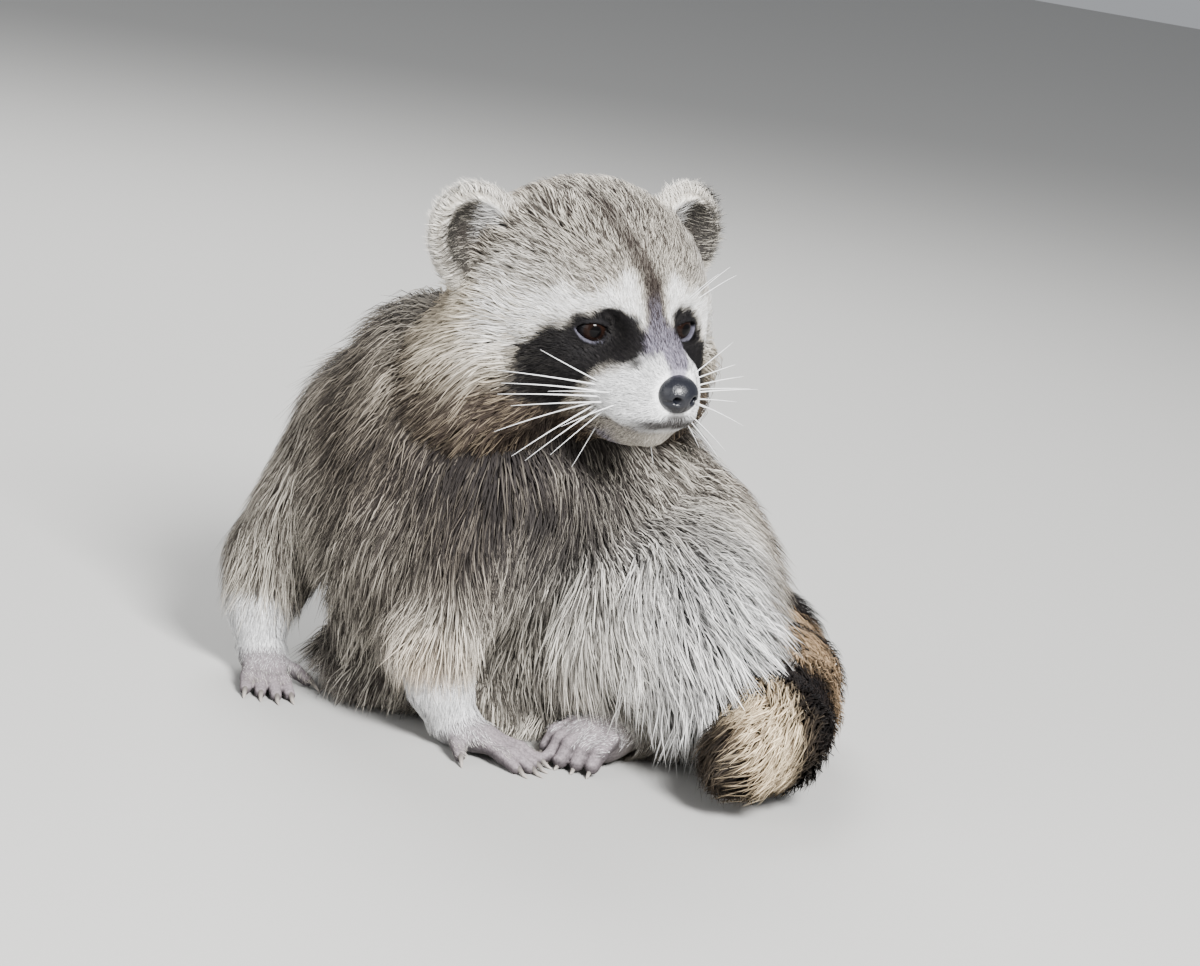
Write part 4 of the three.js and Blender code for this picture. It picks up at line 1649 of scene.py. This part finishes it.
class RACCOON_OT_nose(bpy.types.Operator):
    """Build the nose leather"""

    bl_idname = "raccoon.nose"
    bl_label = "Nose"

    def execute(self, context):
        middle = HEAD.outside(NOSE_PAD)
        low, high = middle - NOSE_REACH, middle + NOSE_REACH
        made = mesh_object("nose_leather", *polygonised(nose_field, low, high, NOSE_MESH))
        smooth(made.data)
        made.data.materials.append(MATERIALS["nose"])
        finished(made, "nose", "nose")
        return {"FINISHED"}


class RACCOON_OT_claws(bpy.types.Operator):
    """Build the claws at the tips of the digits"""

    bl_idname = "raccoon.claws"
    bl_label = "Claws"

    def execute(self, context):
        lines = []
        steps = np.linspace(0, 1, 9)
        for paw, digits in DIGITS.items():
            length = context.scene.raccoon_body.claw_length / MM
            length *= 1.0 if paw.startswith("forepaw") else 0.85
            for (_, b, c), r in digits:
                ahead = unit(c - b)
                down = np.array((0, 0, -1.0))
                start = c + ahead * r * 0.2 + (0, 0, 1.1)
                points = start + np.outer(steps * length, ahead)
                points += np.outer(steps**2 * length * 0.28, down)
                radii = 1.35 * (1 - steps) ** 0.6 + 0.08
                points[:, 2] = np.maximum(points[:, 2], radii + 0.1)
                tone = mix(0.10, 0.34, ramp(0.1, 0.9, steps))
                colours = tone[:, None] * np.array((1.0, 0.9, 0.82))
                lines.append((points, radii, colours))
        claws = strands("claws", lines, MATERIALS["claw"], 10)
        finished(claws, "claw")
        return {"FINISHED"}


# Whiskers on one cheek in the head's frame: root, way, length, sag and thickness.
WHISKERS = [
    ((24.5, -11.0, -19.0), (0.90, 0.38, 0.30), 34, -0.02, 0.8),
    ((25.0, -10.5, -21.0), (0.97, 0.35, 0.15), 40, 0.04, 1.0),
    ((24.5, -12.0, -23.5), (1.00, 0.33, 0.05), 43, 0.08, 1.1),
    ((24.5, -12.0, -26.0), (1.00, 0.30, -0.04), 44, 0.05, 1.1),
    ((23.5, -14.0, -28.0), (1.00, 0.28, -0.12), 38, 0.04, 1.0),
    ((24.0, -7.0, -31.0), (0.97, 0.17, -0.30), 44, 0.10, 0.9),
    ((23.0, -7.0, -33.0), (0.92, 0.08, -0.46), 42, 0.10, 0.9),
    ((22.0, -9.0, -34.0), (0.86, 0.00, -0.58), 38, 0.12, 0.8),
    ((20.0, -12.0, -33.5), (0.70, 0.05, -0.66), 26, 0.12, 0.6),
    ((22.5, -19.0, -22.0), (0.95, 0.05, 0.08), 32, 0.05, 0.7),
    ((21.5, -22.0, -27.0), (0.92, 0.00, -0.25), 30, 0.08, 0.7),
    ((14.0, 0.0, -46.0), (0.45, 0.10, -0.85), 18, 0.10, 0.5),
    ((18.0, -4.0, 11.0), (0.30, -0.35, 0.80), 28, 0.20, 0.45),
    ((22.0, -3.0, 12.0), (0.48, -0.28, 0.74), 30, 0.20, 0.45),
    ((27.0, -1.0, 12.0), (0.70, -0.20, 0.56), 26, 0.18, 0.45),
]


class RACCOON_OT_whiskers(bpy.types.Operator):
    """Build the whiskers of the muzzle and the brows"""

    bl_idname = "raccoon.whiskers"
    bl_label = "Whiskers"

    def execute(self, context):
        draw = np.random.default_rng(context.scene.raccoon_coat.seed + 90)
        width = context.scene.raccoon_body.whisker_width / MM
        steps = np.linspace(0, 1, 14)
        lines = []
        for s in SIDES.values():
            for root, way, length, sag, thick in WHISKERS:
                mirror = np.array((s, 1, 1))
                way = unit(np.array(way) * mirror + draw.normal(0, 0.05, 3))
                at = np.array(root) * mirror
                length = length * draw.uniform(0.88, 1.12)
                points = at - way * 2 + np.outer(steps * length, way)
                points += np.outer(steps**2 * length * sag, (0, 0.6, -1.0))
                radii = width * 0.43 * thick * (1 - steps) ** 0.7 + 0.05
                colours = np.tile(WHITE * 0.95, (len(steps), 1))
                lines.append((HEAD.outside(points), radii, colours))
        whiskers = strands("whiskers", lines, MATERIALS["whisker"], 5)
        finished(whiskers, "whisker")
        return {"FINISHED"}


MOST_TRIANGLES = 190000  # a region with more is shared out over several pieces
LONG_FROM = 11.0  # of the hair at least this long,
LONG_SHARE = 0.4  # this share is drawn with one more bend
UNDERCOAT = 0.30  # share of short wide tufts where the coat is deep
STRAY = 0.08  # share of tufts that stand off the others
LOCK = 8.0  # size of the locks in which the tips gather
LOCK_PULL = 0.36  # how far, as a share, a tip moves to the middle of its lock
LOCK_SEED = 17
CHEEK_TOP = -4  # the crown ends and the cheeks begin at this height of the head
NECK_FOOT = 118  # heights of the body at which the neck begins
RUMP_TOP = 60  # and the rump ends


def tuft_density(points, body, head):
    """Tufts on each square millimetre of the skin."""
    part = part_distances(points).argmin(1)
    p, q = BODY.inside(points), HEAD.inside(points)
    face = ramp(24, -4, q[:, 1])
    foreleg = mix(1.0, body * 0.7, ramp(36, 56, p[:, 2]))
    rate = np.full(len(points), body)
    rate = np.where(part == SKULL, mix(head, head * 2.8, face), rate)
    rate = np.where((part == EAR_LEFT) | (part == EAR_RIGHT), 1.4, rate)
    rate = np.where(part == BRUSH, body * 0.95, rate)
    rate = np.where(part == FORELEG, foreleg, rate)
    return np.where(part >= HINDLEG, 0.7, rate)


def hair_grows(root, up, part):
    """Leaves the eyes, the nose, the soles and the floor side bare."""
    q = HEAD.inside(root)
    keep = np.ones(len(root), bool)
    for s in SIDES.values():
        e = eye_space(q, s)
        keep &= ~((almond(e) < 1.6) & (np.linalg.norm(e, axis=1) < 11.5) & (e[:, 1] < 0))
    keep &= ball(nose_space(q), (0, 0, 0), NOSE_SIZE) > 0.6
    keep &= ~((root[:, 2] < 1.5) & (up[:, 2] < -0.4))
    keep &= ~((part >= FOREPAW) & (up[:, 2] < 0.1))
    for side in SIDES:
        for places, ahead in ((HANDS, -22), (FEET, -19)):
            own = places[side].inside(root)
            digits = (np.abs(own[:, 0]) < 30) & (own[:, 1] < ahead) & (own[:, 1] > -50)
            keep &= ~(digits & (own[:, 2] < 16) & ((up[:, 2] < 0.6) | (own[:, 1] < ahead - 14)))
    return keep


def combed(root, up, uv, survey, widest, draw):
    """Shapes and colours of all the tufts, and which of them are long."""
    n = len(root)
    full = survey["depth"]
    under = draw.random(n) < UNDERCOAT * ramp(3, 9, full)
    share = np.where(under, draw.uniform(0.45, 0.75, n), draw.uniform(0.75, 1.03, n))
    depth = full * share
    length = survey["length"] * share * draw.uniform(0.85, 1.15, n)
    turn = 0.2 * wander(root, 26, 11) + draw.normal(0, 0.19, n)
    lie = unit(survey["lie"] - up * np.sum(survey["lie"] * up, 1, keepdims=True))
    lie = unit(lie + np.cross(up, lie) * turn[:, None])
    width = widest * mix(0.36, 1.0, ramp(0.8, 14, full))
    width = width * np.where(under, 2.1, draw.uniform(0.7, 1.15, n))

    tips = root + lie * length[:, None] + up * depth[:, None]
    sway, off = gathered(root, tips, LOCK, LOCK_PULL, LOCK_SEED)
    loose = ramp(2, 10, full)
    sway *= loose[:, None]
    sway += np.stack([draw.normal(0, 0.045, n) for _ in range(3)], 1) * length[:, None]
    above = skin_field(tips + sway)
    hug = np.clip(above - depth * 1.05, 0, None) - np.clip(depth * 0.4 - above, 0, None)
    stray = draw.random(n) < STRAY
    sway -= up * (np.where(stray, 0.2, 0.8) * hug)[:, None]
    width = width * np.where(stray, 0.75, 1.0)

    # Painted light and shade on the locks: tips near the middle of a lock are lighter, those at its
    # edges darker.
    survey["tone"] = mix(1.0, ramp(8.0, 1.0, off) * 0.55 + 0.68, loose)
    survey["dark"] = np.where(under, 0.85, survey["dark"])
    low, high = tuft_colours(survey, draw)
    hair = {"root": root, "up": up, "way": lie, "length": length, "depth": depth}
    hair |= {"width": width, "sway": sway, "uv": uv, "low": low, "high": high}
    return hair, (length > LONG_FROM) & ~under & (draw.random(n) < LONG_SHARE)


def coat_regions(root, part):
    """The regions of the coat by name, each with its own tufts marked."""
    p, q = BODY.inside(root), HEAD.inside(root)
    skull, cheeks = part == SKULL, q[:, 2] < CHEEK_TOP
    body, neck = part == TRUNK, p[:, 2] > NECK_FOOT
    behind = (p[:, 1] + 0.7 * p[:, 0]) > 22
    ahead, back = body & ~neck & ~behind, body & ~neck & behind
    return {
        "crown": skull & ~cheeks,
        "cheeks": skull & cheeks,
        "ears": (part == EAR_LEFT) | (part == EAR_RIGHT),
        "neck": body & neck,
        "chest": ahead & (p[:, 0] <= 0),
        "flank": ahead & (p[:, 0] > 0),
        "back": back & (p[:, 2] > RUMP_TOP),
        "rump": back & (p[:, 2] <= RUMP_TOP),
        "tail": part == BRUSH,
        "limbs": part >= FORELEG,
    }


def shared_out(root, own, most):
    """Halves a set of tufts across its longest side until no part has more than `most`."""
    if not len(own):
        return []
    if len(own) <= most:
        return [own]
    axis = np.ptp(root[own], axis=0).argmax()
    order = own[np.argsort(root[own, axis])]
    half = len(order) // 2
    return shared_out(root, order[:half], most) + shared_out(root, order[half:], most)


class RACCOON_OT_coat(bpy.types.Operator):
    """Cover the skin with tufts of hair"""

    bl_idname = "raccoon.coat"
    bl_label = "Coat"

    def execute(self, context):
        coat = context.scene.raccoon_coat
        draw = np.random.default_rng(coat.seed)

        def density(points):
            return tuft_density(points, coat.body_density, coat.head_density)

        root, up, uv = spread(bpy.data.objects["skin"].data, density, coat.seed)
        survey = coat_survey(root, up)
        keep = hair_grows(root, up, survey["part"])
        root, up, uv = root[keep], up[keep], uv[keep]
        survey = {key: value[keep] for key, value in survey.items()}
        hair, long = combed(root, up, uv, survey, coat.width / MM, draw)
        for name, inside in coat_regions(root, survey["part"]).items():
            for kind, rings, chosen in (("long", LONG_TUFT, long), ("short", SHORT_TUFT, ~long)):
                own = np.flatnonzero(inside & chosen)
                most = MOST_TRIANGLES // (RING_TRIANGLES * len(rings))
                for k, some in enumerate(shared_out(root, own, most), 1):
                    made = tufts(rings, **{key: value[some] for key, value in hair.items()})
                    piece = coat_piece(f"coat_{name}_{kind}_{k}", made, MATERIALS["coat"])
                    finished(piece, "coat")
        return {"FINISHED"}


# The camera stands in front, a little above, and leans to one side.
LOOK_AT = np.array((0.0, 0.0, 118.0))  # from the body's own origin
CAMERA_PITCH = 12.0
CAMERA_LEAN = 10.0
PICTURE_WIDTH = 1200
PICTURE_SCALE = 0.45  # millimetres across one pixel at the place looked at
SENSOR = 36.0
FLOOR_SIZE = 6.0  # half the side of the floor, in metres
SKY = (0.92, 0.95, 1.0, 1)
SKY_STRENGTH = 0.42
LIGHTS_AIM = (0, 0, 0.12)
LIGHTS = [  # name, place, size and share of the power, in metres
    ("key", (0.8, -1.7, 1.5), 0.65, 1.0),
    ("fill", (-1.5, -1.3, 0.8), 1.4, 0.11),
    ("rim", (-0.4, 1.3, 1.4), 1.0, 0.22),
]


class RACCOON_OT_stage(bpy.types.Operator):
    """Set up the floor, the lights and the camera"""

    bl_idname = "raccoon.stage"
    bl_label = "Stage"

    def execute(self, context):
        stage = context.scene.raccoon_stage
        self.camera(stage.lens)
        self.floor(stage.floor)
        self.lights(stage.light)
        return {"FINISHED"}

    def camera(self, lens):
        pitch, lean = math.radians(CAMERA_PITCH), math.radians(CAMERA_LEAN)
        level = np.array((1.0, 0.0, 0.0))
        steep = np.array((0.0, math.sin(pitch), math.cos(pitch)))
        ahead = np.array((0.0, math.cos(pitch), -math.sin(pitch)))
        right = math.cos(lean) * level + math.sin(lean) * steep
        up = -math.sin(lean) * level + math.cos(lean) * steep
        distance = PICTURE_SCALE * lens / SENSOR * PICTURE_WIDTH
        eye = BODY.outside(LOOK_AT) - ahead * distance
        data = bpy.data.cameras.new("camera")
        data.lens = lens
        data.sensor_width = SENSOR
        data.clip_end = 50
        made = placed("camera", data)
        axes = Matrix(np.stack([right, up, -ahead], 1).tolist()).to_4x4()
        made.matrix_world = Matrix.Translation(Vector(eye * MM)) @ axes
        bpy.context.scene.camera = made

    def floor(self, colour):
        mesh = bpy.data.meshes.new("floor")
        corners = [(x * FLOOR_SIZE, y * FLOOR_SIZE, 0) for x, y in ((-1, -1), (1, -1), (1, 1), (-1, 1))]
        mesh.from_pydata(corners, [], [(0, 1, 2, 3)])
        material, _, shader = new_material("Floor")
        dial(shader, {"Base Color": (*colour, 1), "Roughness": 0.85})
        mesh.materials.append(material)
        made = placed("floor", mesh)

    def lights(self, power):
        world = bpy.data.worlds.new("studio")
        world.use_nodes = True
        dial(world.node_tree.nodes["Background"], {"Color": SKY, "Strength": SKY_STRENGTH})
        bpy.context.scene.world = world
        for name, at, size, share in LIGHTS:
            data = bpy.data.lights.new(name, "AREA")
            data.size = size
            data.energy = power * share
            made = placed(name, data)
            made.location = at
            aim = Vector(LIGHTS_AIM) - Vector(at)
            made.rotation_euler = aim.to_track_quat("-Z", "Y").to_euler()


OPERATORS = (
    RACCOON_OT_skin,
    RACCOON_OT_eyes,
    RACCOON_OT_nose,
    RACCOON_OT_claws,
    RACCOON_OT_whiskers,
    RACCOON_OT_coat,
    RACCOON_OT_stage,
)


class RACCOON_PT_panel(bpy.types.Panel):
    """Lists what builds the raccoon"""

    bl_idname = "RACCOON_PT_panel"
    bl_label = "Sitting raccoon"
    bl_space_type = "VIEW_3D"
    bl_region_type = "UI"
    bl_category = "Raccoon"

    def draw(self, context):
        for settings in ("raccoon_body", "raccoon_coat", "raccoon_stage"):
            group = getattr(context.scene, settings)
            for key in group.bl_rna.properties.keys():
                if key not in ("rna_type", "name"):
                    self.layout.prop(group, key)
        for operator in OPERATORS:
            self.layout.operator(operator.bl_idname)


SETTINGS = {
    "raccoon_body": RaccoonBody,
    "raccoon_coat": RaccoonCoat,
    "raccoon_stage": RaccoonStage,
}


def register():
    for cls in (*SETTINGS.values(), *OPERATORS, RACCOON_PT_panel):
        bpy.utils.register_class(cls)
    for name, cls in SETTINGS.items():
        setattr(bpy.types.Scene, name, bpy.props.PointerProperty(type=cls))


def unregister():
    for name in SETTINGS:
        delattr(bpy.types.Scene, name)
    for cls in reversed((*SETTINGS.values(), *OPERATORS, RACCOON_PT_panel)):
        bpy.utils.unregister_class(cls)


def main():
    register()
    MATERIALS.update(make_materials())
    bpy.ops.raccoon.stage()
    bpy.ops.raccoon.skin()
    bpy.ops.raccoon.eyes()
    bpy.ops.raccoon.nose()
    bpy.ops.raccoon.claws()
    bpy.ops.raccoon.whiskers()
    bpy.ops.raccoon.coat()


if __name__ == "__main__":
    main()
